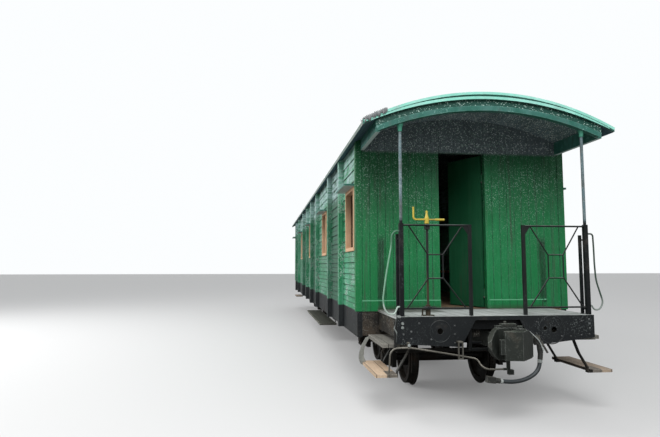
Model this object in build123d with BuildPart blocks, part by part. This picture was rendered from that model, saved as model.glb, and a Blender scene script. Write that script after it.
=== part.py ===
from build123d import *
from math import cos, pi, radians, sin, sqrt, tan
import os

os.makedirs("parts", exist_ok=True)

# The coach runs along Y with its shown end at -Y, X is to the right when facing that end's
# wall, and Z is up from the lowest point of the wheel flanges. Heights are measured from the
# top of the rail and lifted by the flange depth.

# Wheels and track
gauge = 1000
flange_depth = 28
wheel_radius = 360
wheel_width = 125
flange_width = 30
back_to_back = 940
axle_radius = 70
journal_radius = 50
journal_gap = 0.05
journal_end = 845
rail_top = flange_depth

# Body
body_length = 13800
body_width = 2770
platform_depth = 980
wall_thickness = 70
floor_thickness = 25
floor_joint = 2
board_height = 150
board_lap = 12
board_width = 100
groove_depth = 7
post_width = 100
post_depth = 70
corner_post_width = 80
corner_post_proud = 20
corner_post_lap = 8
skirting_height = 115
skirting_thickness = 15

# Heights over the rail
floor_height = 1060
sill_height = 1040
sill_bottom = 730
beam_height = floor_height - floor_thickness
window_sill_height = 1790
window_head_height = 2618
door_head_height = 3045
roof_edge_height = 3167
roof_peak_height = 3530

# Roof and canopy: the lower arcs lie a depth below the roof's peak and below its edge
roof_width = 2918
roof_thickness = 45
fascia_thickness = 22
fascia_middle_depth = 81
fascia_edge_depth = 17
fascia_edge_x = 1404
bow_setback = 30
bow_thickness = 60
bow_middle_depth = 205
bow_edge_depth = 117
bow_edge_x = 1315
cantrail_x = 1270
cantrail_width = 45

# Windows
window_width = 700
window_spacing = 3190
window_count = 5
casing_width = 45
casing_proud = 14
glass_thickness = 6
glass_depth = 62
hood_reach = 140
hood_thickness = 24

# Doorway and door
doorway_width = 610
jamb_casing_width = 28
jamb_casing_proud = 10
door_thickness = 36
door_open_angle = 65
door_edge_gap = 7
door_head_gap = 6
door_floor_gap = 12
hinge_setback = 12
hinge_side_gap = 17
hinge_pin_radius = 6
barrel_radius = 11
barrel_height = 90
running_gap = 0.05

# Platform fittings
headstock_width = 2220
headstock_thickness = 20
beam_flange = 90
beam_flange_thickness = 14
coupler_beam_back = 120
shank_length = 600
shank_half_width = 65
shank_half_height = 80
left_column_x = -1036
right_column_x = 1092
column_y = 75
column_tube_radius = 17
column_post_size = 45
column_post_height = 2060
gate_bar_x = 1065
gate_bar_size = 28
gate_bar_height = 1945
inner_post_size = 34
top_rail_height = 2040
bottom_rail_low = 1133
bottom_rail_high = 1150
rail_rod_radius = 10
panel_rod_radius = 7.5
panel_box_low = 1463
panel_box_high = 1720
grab_rod_radius = 9
brake_x = -733
brake_shaft_radius = 13
brake_shaft_play = 1

# Bogies
bogie_centres = 10400
bogie_wheelbase = 1800
side_frame_x = 750
side_frame_thickness = 60
pivot_height = 650
pivot_pin_radius = 40
pivot_plate_radius = 150

half_body = body_length / 2
headstock_y = -(half_body + platform_depth)
brake_y = headstock_y + column_y + 45
floor_z = rail_top + floor_height
deck_z = floor_z - floor_thickness
sill_z = rail_top + sill_height
axle_z = rail_top + wheel_radius
roof_rise = roof_peak_height - roof_edge_height
roof_radius = ((roof_width / 2) ** 2 + roof_rise ** 2) / (2 * roof_rise)
roof_centre_z = rail_top + roof_peak_height - roof_radius
inner_roof_radius = roof_radius - roof_thickness
board_plane = body_width / 2 - corner_post_proud
seat_gap = 0.3
bend_share = 0.45


def block(x0, x1, y0, y1, z0, z1, mode=Mode.ADD):
    """A block between two opposite corners, each axis given as two values in any order."""
    with Locations(((x0 + x1) / 2, (y0 + y1) / 2, (z0 + z1) / 2)):
        Box(abs(x1 - x0), abs(y1 - y0), abs(z1 - z0), mode=mode)


def rod(points, radius, bend):
    """A round bar through the points, with every corner bent to the same radius."""
    with BuildLine(mode=Mode.PRIVATE) as route:
        if bend and len(points) > 2:
            FilletPolyline(*points, radius=bend)
        else:
            Polyline(*points)
    wire = route.wires()[0]
    with BuildSketch(Plane(origin=wire @ 0, z_dir=wire % 0), mode=Mode.PRIVATE) as section:
        Circle(radius)
    sweep(section.sketch, path=wire, transition=Transition.RIGHT)


def smooth_bends(points):
    """For each corner of a route, the radius that takes a fixed share of its shorter run."""
    radii = []
    places = [Vector(*point) for point in points]
    for before, here, after in zip(places, places[1:], places[2:]):
        turn = (here - before).get_angle(after - here)
        shorter = min((here - before).length, (after - here).length)
        radii.append(bend_share * shorter / tan(radians(turn / 2)))
    return radii


def strut(start, end, radius):
    """A straight round bar from one point to another."""
    rod([start, end], radius, 0)


def plate(outline, y, width):
    """A flat bar bent to an outline of x and height over the rail, starting at y."""
    with BuildSketch(Plane.XZ.offset(-y - width), mode=Mode.PRIVATE) as section:
        with BuildLine():
            Polyline(*[(x, rail_top + height) for x, height in outline], close=True)
        make_face()
    extrude(section.sketch, amount=width)


def plan(outline, low, high):
    """An upright solid over an outline of x and distance ahead of the headstock."""
    with BuildSketch(Plane.XY.offset(low), mode=Mode.PRIVATE) as section:
        with BuildLine():
            Polyline(*[(x, headstock_y - ahead) for x, ahead in outline], close=True)
        make_face()
    extrude(section.sketch, amount=high - low)


def both_ends(end_builder, name):
    """Writes a piece made of one end's solids and the same solids turned half round."""
    with BuildPart() as pair:
        with PolarLocations(0, 2):
            add(end_builder.part)
    write(pair, name)


def far_copy(near_builder, name):
    """Writes the far end's copy of a piece of the near end."""
    with BuildPart() as copy:
        with Locations(Location((0, 0, 0), (0, 0, 180))):
            add(near_builder.part)
    write(copy, name)


def write(builder, name):
    """Labels a finished piece and writes it to its own file."""
    builder.part.label = name
    export_step(builder.part, f"parts/{name}.step")


def roof_height(x, radius):
    """The height of an arc of the roof's family at a distance x from the middle."""
    return roof_centre_z + sqrt(radius ** 2 - x ** 2)


def arc_below(middle_depth, edge_depth, edge_x):
    """The radius and centre height of an arc at a depth under the roof's peak and edge."""
    middle_height = roof_peak_height - middle_depth
    drop = middle_height - (roof_edge_height - edge_depth)
    radius = (edge_x ** 2 + drop ** 2) / (2 * drop)
    return radius, rail_top + middle_height - radius


# Headstocks: a steel plate across each end, cut out for the coupler, with a beam behind
headstock_outline = [
    # x and height over the rail
    (-headstock_width / 2, floor_height),
    (headstock_width / 2, floor_height),
    (headstock_width / 2, 817),
    (430, 745),
    (410, 745),
    (250, 1019),
    (-250, 1019),
    (-410, 740),
    (-430, 738),
    (-778, 760),
    (-headstock_width / 2, 778),
]
plate_holes = [
    # x, height over the rail, radius
    (-640, 905, 33),
    (640, 905, 33),
    (539, 922, 22),
]
carrier_x = 290
with BuildPart() as headstock_end:
    plate(headstock_outline, headstock_y, headstock_thickness)
    for x, height, radius in plate_holes:
        with Locations((x, headstock_y + headstock_thickness / 2, rail_top + height)):
            Cylinder(radius, 2 * headstock_thickness, rotation=(90, 0, 0), mode=Mode.SUBTRACT)
    flange_low = rail_top + beam_height - beam_flange_thickness
    block(
        -headstock_width / 2,
        headstock_width / 2,
        headstock_y + headstock_thickness,
        headstock_y + beam_flange,
        flange_low,
        rail_top + beam_height,
    )
    block(-560, 560, headstock_y + 60, headstock_y + coupler_beam_back, rail_top + 915, flange_low)
    for side in (-1, 1):
        block(
            side * (carrier_x - 20),
            side * carrier_x,
            headstock_y + 60,
            headstock_y + 110,
            rail_top + 690,
            rail_top + 915,
        )
    block(
        -carrier_x, carrier_x, headstock_y + 60, headstock_y + 110, rail_top + 690, rail_top + 712
    )
    block(-carrier_x + 20, -155, headstock_y + 70, headstock_y + 90, rail_top + 765, rail_top + 785)
both_ends(headstock_end, "headstocks")

# Underframe: sills along the coach and members across it, each its own straight steel bar
bolster_y = bogie_centres / 2
sill_width = 65
sill_inner_x = board_plane - sill_width
centre_sill_inner = 155
centre_sill_outer = 225
centre_sill_bottom = 830
end_sill_depth = 80
stringer_x = 1070
stringer_width = 60
stringer_bottom = 830
bearer_positions = [-3900, -2600, -1300, 0, 1300, 2600, 3900]
cross_spans = [
    (-sill_inner_x, -centre_sill_outer),
    (-centre_sill_inner, centre_sill_inner),
    (centre_sill_outer, sill_inner_x),
]
with BuildPart() as side_sills:
    for side in (-1, 1):
        block(
            side * sill_inner_x,
            side * board_plane,
            -half_body,
            half_body,
            rail_top + sill_bottom,
            sill_z,
        )
write(side_sills, "side_sills")

with BuildPart() as end_sill:
    for low_x, high_x in cross_spans:
        block(
            low_x,
            high_x,
            -half_body,
            -half_body + end_sill_depth,
            rail_top + sill_bottom + 15,
            deck_z,
        )
    block(
        -centre_sill_inner,
        centre_sill_inner,
        headstock_y + shank_length,
        headstock_y + shank_length + 120,
        rail_top + centre_sill_bottom,
        deck_z,
    )
both_ends(end_sill, "end_sills")

with BuildPart() as inner_sills:
    for side in (-1, 1):
        block(
            side * centre_sill_inner,
            side * centre_sill_outer,
            headstock_y + coupler_beam_back,
            -headstock_y - coupler_beam_back,
            rail_top + centre_sill_bottom,
            deck_z,
        )
        for end in (-1, 1):
            block(
                side * (stringer_x - stringer_width / 2),
                side * (stringer_x + stringer_width / 2),
                end * half_body,
                end * (-headstock_y - headstock_thickness),
                rail_top + stringer_bottom,
                deck_z,
            )
            block(
                side * headstock_width / 2,
                side * (stringer_x - stringer_width),
                end * -headstock_y,
                end * (-headstock_y - beam_flange),
                flange_low,
                deck_z,
                mode=Mode.SUBTRACT,
            )
write(inner_sills, "inner_sills")

with BuildPart() as cross_members:
    for low_x, high_x in cross_spans:
        for y in bearer_positions:
            block(low_x, high_x, y - 40, y + 40, rail_top + 850, deck_z)
        for end in (-1, 1):
            middle = end * bolster_y
            block(low_x, high_x, middle - 170, middle + 170, rail_top + 780, deck_z)
    for end in (-1, 1):
        with Locations((0, end * bolster_y, rail_top + pivot_height + 65)):
            Cylinder(pivot_plate_radius, 130)
        with Locations((0, end * bolster_y, rail_top + pivot_height - 30)):
            Cylinder(pivot_pin_radius, 60)
write(cross_members, "cross_members")

# Floors: the boards of both platforms and of the saloon
with BuildPart() as floors:
    for end in (-1, 1):
        block(
            -headstock_width / 2,
            headstock_width / 2,
            end * half_body,
            end * (-headstock_y - headstock_thickness),
            deck_z,
            floor_z,
        )
        with Locations((-end * brake_x, -end * brake_y, floor_z)):
            Cylinder(
                brake_shaft_radius + brake_shaft_play, 3 * floor_thickness, mode=Mode.SUBTRACT
            )
    block(
        -board_plane + wall_thickness,
        board_plane - wall_thickness,
        -half_body + floor_joint,
        half_body - floor_joint,
        deck_z,
        floor_z,
    )
write(floors, "floors")

# Side walls: lapped boards with outside posts, five windows cut through each
wall_top_z = roof_height(board_plane, inner_roof_radius)
board_rows = int((wall_top_z - sill_z) / board_height) + 1
window_places = [(k - (window_count - 1) / 2) * window_spacing for k in range(window_count)]
post_places = [-5680, -4280, -2080, -680, 680, 2080, 4280, 5680]
window_height = window_head_height - window_sill_height

for side_name, side in (("left", -1), ("right", 1)):
    with BuildPart() as side_wall:
        with BuildSketch(Plane.XZ) as boards:
            with BuildLine():
                outline = []
                for row in range(board_rows):
                    low = sill_z + row * board_height
                    high = min(low + board_height, wall_top_z + 40)
                    outline.append((side * board_plane, low))
                    outline.append((side * (board_plane - board_lap), high))
                inner_face = side * (board_plane - wall_thickness)
                Polyline(*outline, (inner_face, outline[-1][1]), (inner_face, sill_z), close=True)
            make_face()
        extrude(amount=half_body - wall_thickness, both=True)
        for y in post_places:
            block(
                side * (board_plane - board_lap),
                side * (board_plane + post_depth),
                y - post_width / 2,
                y + post_width / 2,
                sill_z,
                wall_top_z + 40,
            )
            block(
                side * board_plane,
                side * (board_plane + post_depth),
                y - post_width / 2,
                y + post_width / 2,
                rail_top + sill_bottom,
                sill_z,
            )
        for y in window_places:
            block(
                -body_width,
                body_width,
                y - window_width / 2,
                y + window_width / 2,
                rail_top + window_sill_height,
                rail_top + window_head_height,
                mode=Mode.SUBTRACT,
            )
        with BuildSketch(Plane.XZ):
            with Locations((0, roof_centre_z)):
                Circle(inner_roof_radius)
        extrude(amount=half_body, both=True, mode=Mode.INTERSECT)
    write(side_wall, f"side_wall_{side_name}")

# End walls: upright grooved boards with corner posts, a doorway, skirtings and gate bars
skirtings = [
    # low x, high x, bottom height over the rail
    (-body_width / 2 + corner_post_width, -headstock_width / 2, sill_height),
    (-headstock_width / 2, -doorway_width / 2, floor_height),
    (doorway_width / 2 + jamb_casing_width, 1050, floor_height),
]
wall_bars = [
    # low x, high x, low and high height over the rail
    (1058, 1090, 1146, 1916),
    (-1060, -1028, 1146, 1909),
]
with BuildPart() as end_wall:
    with BuildSketch(Plane.XY.offset(sill_z)):
        with Locations((0, -half_body + wall_thickness / 2)):
            Rectangle(body_width, wall_thickness)
        groove_count = int(body_width / board_width)
        with Locations((0, -half_body)):
            with GridLocations(board_width, 1, groove_count, 1):
                Rectangle(groove_depth * 1.4, groove_depth * 1.4, rotation=45, mode=Mode.SUBTRACT)
    extrude(amount=rail_top + roof_peak_height - sill_z)
    for side in (-1, 1):
        block(
            side * body_width / 2,
            side * (body_width / 2 - corner_post_width),
            -half_body - corner_post_lap,
            -half_body + wall_thickness,
            sill_z,
            rail_top + roof_peak_height,
        )
    for low_x, high_x, bottom in skirtings:
        block(
            low_x,
            high_x,
            -half_body - skirting_thickness,
            -half_body,
            rail_top + bottom,
            floor_z + skirting_height,
        )
    for low_x, high_x, low, high in wall_bars:
        block(low_x, high_x, -half_body - 18, -half_body, rail_top + low, rail_top + high)
    block(
        doorway_width / 2,
        doorway_width / 2 + jamb_casing_width,
        -half_body - jamb_casing_proud,
        -half_body,
        floor_z,
        rail_top + door_head_height,
    )
    block(
        -doorway_width / 2,
        doorway_width / 2,
        -half_body - 50,
        -half_body + wall_thickness,
        floor_z,
        rail_top + door_head_height,
        mode=Mode.SUBTRACT,
    )
    block(
        -board_plane + wall_thickness,
        board_plane - wall_thickness,
        -half_body,
        -half_body + wall_thickness,
        sill_z,
        floor_z,
        mode=Mode.SUBTRACT,
    )
    block(
        -headstock_width / 2,
        headstock_width / 2,
        -half_body - 50,
        -half_body,
        sill_z,
        floor_z,
        mode=Mode.SUBTRACT,
    )
    with BuildSketch(Plane.XZ):
        with Locations((0, roof_centre_z)):
            Circle(inner_roof_radius)
    extrude(amount=half_body + 100, both=True, mode=Mode.INTERSECT)
both_ends(end_wall, "end_walls")

# Roof: one arched shell over the saloon and both platforms
roof_end = -headstock_y - fascia_thickness
with BuildPart() as roof:
    with BuildSketch(Plane.XZ):
        with Locations((0, roof_centre_z)):
            Circle(roof_radius)
            Circle(inner_roof_radius, mode=Mode.SUBTRACT)
        with Locations((0, roof_centre_z + roof_radius)):
            Rectangle(roof_width, 2 * (roof_rise + roof_thickness), mode=Mode.INTERSECT)
    extrude(amount=roof_end, both=True)
write(roof, "roof")

# Fascias: the strip that closes each end of the roof, deepest in the middle
fascia_radius, fascia_centre_z = arc_below(
    fascia_middle_depth, fascia_edge_depth, fascia_edge_x
)
with BuildPart() as fascia_end:
    with BuildSketch(Plane.XZ.offset(-headstock_y - fascia_thickness)):
        with Locations((0, roof_centre_z)):
            Circle(roof_radius)
        with Locations((0, fascia_centre_z)):
            Circle(fascia_radius, mode=Mode.SUBTRACT)
        with Locations((0, roof_centre_z + roof_radius)):
            Rectangle(roof_width, 2 * (roof_rise + roof_thickness), mode=Mode.INTERSECT)
    extrude(amount=fascia_thickness)
both_ends(fascia_end, "fascias")

# Canopy frames: the bow that the columns carry, and a cantrail from each end of it to the wall
bow_radius, bow_centre_z = arc_below(bow_middle_depth, bow_edge_depth, bow_edge_x)
with BuildPart() as canopy_frame_end:
    with BuildSketch(Plane.XZ.offset(-headstock_y - bow_setback - bow_thickness)):
        with Locations((0, roof_centre_z + roof_radius - roof_rise)):
            Rectangle(2 * bow_edge_x, 4 * roof_rise)
        with Locations((0, bow_centre_z)):
            Circle(bow_radius, mode=Mode.SUBTRACT)
    extrude(amount=bow_thickness)
    for side in (-1, 1):
        block(
            side * cantrail_x,
            side * (cantrail_x + cantrail_width),
            headstock_y + bow_setback,
            -half_body - corner_post_lap,
            rail_top + roof_edge_height - bow_edge_depth,
            rail_top + roof_peak_height,
        )
    with BuildSketch(Plane.XZ):
        with Locations((0, roof_centre_z)):
            Circle(inner_roof_radius)
    extrude(amount=-headstock_y, both=True, mode=Mode.INTERSECT)
both_ends(canopy_frame_end, "canopy_frames")

# Platform columns: a square post to rail height, a round tube above and a flared capital, with
# the slim bar beside it that the missing side gate closed on
capital_bottom = roof_edge_height - 97
gate_tie_heights = (1118, 1890)
with BuildPart() as column_end:
    for side, x in ((-1, left_column_x), (1, right_column_x)):
        y = headstock_y + column_y
        half_post = column_post_size / 2
        block(
            x - half_post,
            x + half_post,
            y - half_post,
            y + half_post,
            floor_z,
            rail_top + column_post_height,
        )
        low_z = rail_top + capital_bottom
        top_z = low_z + 130
        with BuildSketch(Plane((x, y, 0), x_dir=(1, 0, 0), z_dir=(0, -1, 0))):
            with BuildLine():
                Polyline(
                    (0, rail_top + column_post_height),
                    (column_tube_radius, rail_top + column_post_height),
                    (column_tube_radius, low_z),
                    (24, low_z),
                    (24, low_z + 18),
                )
                ThreePointArc((24, low_z + 18), (27, low_z + 45), (37, low_z + 68))
                Polyline(
                    (37, low_z + 68),
                    (37, top_z),
                    (0, top_z),
                    (0, rail_top + column_post_height),
                )
            make_face()
        revolve(axis=Axis((x, y, 0), (0, 0, 1)))
        bar_x = side * gate_bar_x
        bar_y = y + 65
        half_bar = gate_bar_size / 2
        block(
            bar_x - half_bar,
            bar_x + half_bar,
            bar_y - half_bar,
            bar_y + half_bar,
            floor_z,
            rail_top + gate_bar_height,
        )
        for height in gate_tie_heights:
            block(x, bar_x, y, bar_y, rail_top + height - 8, rail_top + height + 8)
    with BuildSketch(Plane.XZ):
        with Locations((0, bow_centre_z)):
            Circle(bow_radius)
    extrude(amount=-headstock_y, mode=Mode.INTERSECT)
both_ends(column_end, "columns")

# End railings: one panel of rods each side of the gangway, with the inner post's gusset
panel_top_reach = 80
panel_bottom_reach = 58
railing_panels = [
    # column x, inner post x, rod frame x near the column, rod frame x near the post
    (left_column_x, -265, -741, -572),
    (right_column_x, 355, 817, 640),
]
with BuildPart() as railing_end:
    y = headstock_y + column_y
    top_z = rail_top + top_rail_height
    bottom_z = rail_top + (bottom_rail_low + bottom_rail_high) / 2
    low_z = rail_top + panel_box_low
    high_z = rail_top + panel_box_high
    half_post = inner_post_size / 2
    for column, post, box_outer, box_inner in railing_panels:
        hand = 1 if column > post else -1
        face = column - hand * column_post_size / 2
        block(
            post - half_post,
            post + half_post,
            y - half_post,
            y + half_post,
            floor_z,
            top_z + rail_rod_radius,
        )
        strut((post, y, top_z), (face, y, top_z), rail_rod_radius)
        block(
            post, face, y - 12, y + 12, rail_top + bottom_rail_low, rail_top + bottom_rail_high
        )
        corners = [
            (box_inner, high_z, post + hand * panel_top_reach, top_z),
            (box_outer, high_z, column - hand * panel_top_reach, top_z),
            (box_outer, low_z, column - hand * panel_bottom_reach, bottom_z),
            (box_inner, low_z, post + hand * panel_bottom_reach, bottom_z),
        ]
        for box_x, box_z, rail_x, rail_z in corners:
            strut((box_x, y, box_z), (rail_x, y, rail_z), panel_rod_radius)
        for start, end in zip(corners, corners[1:] + corners[:1]):
            strut((start[0], y, start[1]), (end[0], y, end[1]), panel_rod_radius)
        gusset = [
            (post, top_rail_height),
            (post + hand * 85, top_rail_height),
            (post, top_rail_height - 130),
        ]
        plate(gusset, y - 5, 10)
both_ends(railing_end, "railings")

# Handbrakes: an upright shaft behind the railing, in a pedestal on the deck, a guide on the back
# of the headstock and one on the top rail, with a two-armed crank on top
shaft_low_z = rail_top + 770
shaft_top_z = rail_top + top_rail_height + 20
pedestal_radius = 28
pedestal_height = 1130
collar_radius = 24
collar_height = 50
pedestal_leg_x = brake_x - 70
pedestal_leg_size = 14
with BuildPart() as brake_shaft_end:
    with Locations((brake_x, brake_y, (shaft_low_z + shaft_top_z) / 2)):
        Cylinder(brake_shaft_radius, shaft_top_z - shaft_low_z)
    with Locations((brake_x, brake_y, (floor_z + rail_top + pedestal_height) / 2)):
        Cylinder(pedestal_radius, rail_top + pedestal_height - floor_z)
    with Locations((brake_x, brake_y, rail_top + pedestal_height + collar_height / 2)):
        Cylinder(collar_radius, collar_height)
    block(
        pedestal_leg_x,
        brake_x + 62,
        brake_y - pedestal_radius,
        brake_y + pedestal_radius,
        floor_z,
        floor_z + 10,
    )
    block(
        pedestal_leg_x,
        pedestal_leg_x + pedestal_leg_size,
        brake_y - pedestal_leg_size / 2,
        brake_y + pedestal_leg_size / 2,
        floor_z,
        rail_top + pedestal_height,
    )
    block(
        pedestal_leg_x,
        brake_x,
        brake_y - pedestal_leg_size / 2,
        brake_y + pedestal_leg_size / 2,
        rail_top + pedestal_height - 12,
        rail_top + pedestal_height,
    )
    block(
        brake_x - collar_radius,
        brake_x + collar_radius,
        headstock_y + column_y + rail_rod_radius,
        brake_y + collar_radius,
        rail_top + top_rail_height - 45,
        rail_top + top_rail_height + 10,
    )
    block(
        brake_x - collar_radius,
        brake_x + collar_radius,
        headstock_y + headstock_thickness,
        brake_y + collar_radius,
        shaft_low_z + 15,
        shaft_low_z + 40,
    )
both_ends(brake_shaft_end, "brake_shafts")

crank_arm_z = shaft_top_z + 45
with BuildPart() as brake_crank_end:
    with Locations((brake_x, brake_y, shaft_top_z + 32)):
        Cylinder(24, 64)
    with Locations((brake_x, brake_y, shaft_top_z + 92)):
        Cone(22, 9, 56)
    strut((brake_x, brake_y, crank_arm_z), (brake_x + 100, brake_y, crank_arm_z), 9)
    strut((brake_x + 100, brake_y, crank_arm_z), (brake_x + 198, brake_y, crank_arm_z), 13)
    rod(
        [
            (brake_x, brake_y, crank_arm_z),
            (brake_x - 150, brake_y, crank_arm_z),
            (brake_x - 150, brake_y, crank_arm_z + 140),
        ],
        10,
        30,
    )
both_ends(brake_crank_end, "brake_cranks")

# Grab rods: a bent rod on the outside of each column for climbing the steps
right_face = right_column_x + column_post_size / 2
left_face = left_column_x - column_post_size / 2
right_grab = [
    # x and height over the rail
    (right_face, 1958),
    (1182, 1958),
    (1188, 1772),
    (1188, 1637),
    (1199, 1435),
    (1241, 1301),
    (1275, 1190),
    (1232, 1113),
    (1165, 1108),
    (1136, 1158),
    (right_face, 1158),
]
left_grab = [
    (left_face, 1973),
    (-1102, 1973),
    (-1141, 1929),
    (-1143, 1821),
    (-1206, 1500),
    (-1242, 1235),
    (-1227, 1139),
    (-1178, 1081),
    (-1113, 1085),
    (-1082, 1160),
    (left_face, 1160),
]
with BuildPart() as grab_rod_end:
    for route in (right_grab, left_grab):
        y = headstock_y + column_y
        places = [(x, y, rail_top + height) for x, height in route]
        rod(places, grab_rod_radius, smooth_bends(places))
both_ends(grab_rod_end, "grab_rods")

# Step boards: two wooden treads at each corner and a long footboard on each side. Seen from the
# end the left upper tread is hung low, and the right one is bolted up under its stringer.
left_tread_top = 775
left_tread_low = left_tread_top - 40
left_tread_outer = 1250
right_tread_top = stringer_bottom
right_tread_low = right_tread_top - 40
right_tread_outer = 1200
lower_tread_top = 460
lower_tread_low = lower_tread_top - 32
lower_tread_inner = 1100
lower_tread_outer = 1330
tread_table = [
    # inner x, outer x, start y and end y from the headstock, low and top height over the rail
    (-950, -left_tread_outer, 65, 850, left_tread_low, left_tread_top),
    (950, right_tread_outer, 65, 850, right_tread_low, right_tread_top),
    (-lower_tread_inner, -lower_tread_outer, 45, 900, lower_tread_low, lower_tread_top),
    (lower_tread_inner, lower_tread_outer, 45, 900, lower_tread_low, lower_tread_top),
]
footboard_length = 3500
footboard_inner = 940
footboard_outer = 1310
footboard_top = 345
footboard_thickness = 35
with BuildPart() as step_tread_end:
    for inner, outer, start, end, low, top in tread_table:
        block(inner, outer, headstock_y + start, headstock_y + end, rail_top + low, rail_top + top)
    block(
        -footboard_inner,
        -footboard_outer,
        -footboard_length / 2,
        footboard_length / 2,
        rail_top + footboard_top - footboard_thickness,
        rail_top + footboard_top,
    )
both_ends(step_tread_end, "step_treads")

# Step hangers: flat bars bent from the frame down under the treads, a curved plate and a strap
# at each left corner, and the footboards' hangers
hanger_width = 50
bar = 12
left_hanger = [
    (880, stringer_bottom),
    (1100, stringer_bottom),
    (1100, stringer_bottom - bar),
    (894, stringer_bottom - bar),
    (942, left_tread_low),
    (1225, left_tread_low),
    (1225, left_tread_low - bar),
    (949, left_tread_low - bar),
    (995, 634),
    (lower_tread_inner - 10, 478),
    (lower_tread_inner - 10, lower_tread_low),
    (lower_tread_outer - 15, lower_tread_low),
    (lower_tread_outer - 15, lower_tread_low - bar),
    (lower_tread_inner - 22, lower_tread_low - bar),
    (lower_tread_inner - 22, 474),
    (984, 630),
    (930, left_tread_low),
]
right_hanger = [
    (923, right_tread_low),
    (right_tread_outer - 15, right_tread_low),
    (right_tread_outer - 15, right_tread_low - bar),
    (940, right_tread_low - bar),
    (995, 634),
    (lower_tread_inner - 10, 478),
    (lower_tread_inner - 10, lower_tread_low),
    (lower_tread_outer - 15, lower_tread_low),
    (lower_tread_outer - 15, lower_tread_low - bar),
    (lower_tread_inner - 22, lower_tread_low - bar),
    (lower_tread_inner - 22, 474),
    (984, 630),
]
curved_plate = [
    (left_tread_outer, 760),
    (1290, 742),
    (1341, 655),
    (1371, 565),
    (1376, 500),
    (1362, 455),
    (1345, 432),
    (lower_tread_outer, 432),
    (lower_tread_outer, lower_tread_top),
    (1292, lower_tread_top),
    (1315, 524),
    (1312, 589),
    (1300, 648),
    (1262, 715),
    (left_tread_outer, 728),
]
footboard_under = footboard_top - footboard_thickness
footboard_hanger = [
    (board_plane, sill_bottom),
    (sill_inner_x, sill_bottom),
    (footboard_inner - bar, footboard_top + 40),
    (footboard_inner - bar, footboard_under - bar),
    (footboard_outer - 15, footboard_under - bar),
    (footboard_outer - 15, footboard_under),
    (footboard_inner, footboard_under),
    (footboard_inner, footboard_top + 36),
    (sill_inner_x + bar, sill_bottom - bar),
    (board_plane, sill_bottom - bar),
]
plate_width = 14
hanger_table = [
    # side, outline, middle of the bar along the coach, width of the bar
    (-1, left_hanger, headstock_y + 130, hanger_width),
    (-1, left_hanger, headstock_y + 785, hanger_width),
    (-1, curved_plate, headstock_y + 825, plate_width),
    (1, right_hanger, headstock_y + 130, hanger_width),
    (1, right_hanger, headstock_y + 785, hanger_width),
    (-1, footboard_hanger, -1500, hanger_width),
    (-1, footboard_hanger, 0, hanger_width),
    (-1, footboard_hanger, 1500, hanger_width),
]
strap_outline = [
    # distance behind the headstock's face and height over the rail
    (10, 1015),
    (22, 1015),
    (22, left_tread_low),
    (230, left_tread_low),
    (230, left_tread_low - 10),
    (10, left_tread_low - 10),
]
strap_width = 28
with BuildPart() as step_hanger_end:
    for side, outline, middle, width in hanger_table:
        plate([(side * x, z) for x, z in outline], middle - width / 2, width)
    with BuildSketch(Plane.YZ.offset(-headstock_width / 2 - strap_width)):
        with BuildLine():
            Polyline(*[(headstock_y + y, rail_top + z) for y, z in strap_outline], close=True)
        make_face()
    extrude(amount=strap_width)
both_ends(step_hanger_end, "step_hangers")

# Windows: varnished wooden frames with a glass pane, and a rain hood over each
pane_x = board_plane - glass_depth
frame_inner_x = board_plane - wall_thickness
frame_outer_x = board_plane + casing_proud
frame_low = rail_top + window_sill_height
frame_high = rail_top + window_head_height
half_window = window_width / 2
half_glass = half_window - casing_width
with BuildPart() as window_frames:
    for side in (-1, 1):
        for y in window_places:
            block(
                side * frame_inner_x,
                side * frame_outer_x,
                y - half_window,
                y + half_window,
                frame_low,
                frame_high,
            )
            block(
                side * frame_inner_x,
                side * frame_outer_x,
                y - half_glass,
                y + half_glass,
                frame_low + casing_width,
                frame_high - casing_width,
                mode=Mode.SUBTRACT,
            )
write(window_frames, "window_frames")

with BuildPart() as window_panes:
    for side in (-1, 1):
        for y in window_places:
            block(
                side * pane_x,
                side * (pane_x + glass_thickness),
                y - half_glass,
                y + half_glass,
                frame_low + casing_width,
                frame_high - casing_width,
            )
write(window_panes, "window_panes")

with BuildPart() as window_hoods:
    for side in (-1, 1):
        for y in window_places:
            block(
                side * (board_plane + seat_gap),
                side * (board_plane + hood_reach),
                y - half_window - 40,
                y + half_window + 40,
                frame_high,
                frame_high + hood_thickness,
            )
write(window_hoods, "window_hoods")

# Doors: a boarded leaf hinged inside the right jamb, standing open into the saloon
hinge_x = doorway_width / 2 - 2
hinge_y = -half_body + wall_thickness + hinge_setback
leaf_outer_y = hinge_y - 14
leaf_edge_x = hinge_x - hinge_side_gap
door_low_z = floor_z + door_floor_gap
door_high_z = rail_top + door_head_height - door_head_gap
hinge_heights = (door_low_z + 180, door_high_z - 300)
with BuildPart() as door_leaf:
    block(
        -doorway_width / 2 + door_edge_gap,
        leaf_edge_x,
        leaf_outer_y,
        leaf_outer_y + door_thickness,
        door_low_z,
        door_high_z,
    )
    for z in hinge_heights:
        low = z - barrel_height / 2
        high = z + barrel_height / 2
        block(leaf_edge_x - 40, hinge_x, hinge_y - 3, hinge_y + 3, low, high)
        with Locations((hinge_x, hinge_y, z)):
            Cylinder(barrel_radius, barrel_height)
            Cylinder(hinge_pin_radius + running_gap, barrel_height + 20, mode=Mode.SUBTRACT)
swing = Location((hinge_x, hinge_y, 0), (0, 0, -door_open_angle)) * Location((-hinge_x, -hinge_y, 0))
with BuildPart() as door_near:
    with Locations(swing):
        add(door_leaf.part)
write(door_near, "door_near")
far_copy(door_near, "door_far")

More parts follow.
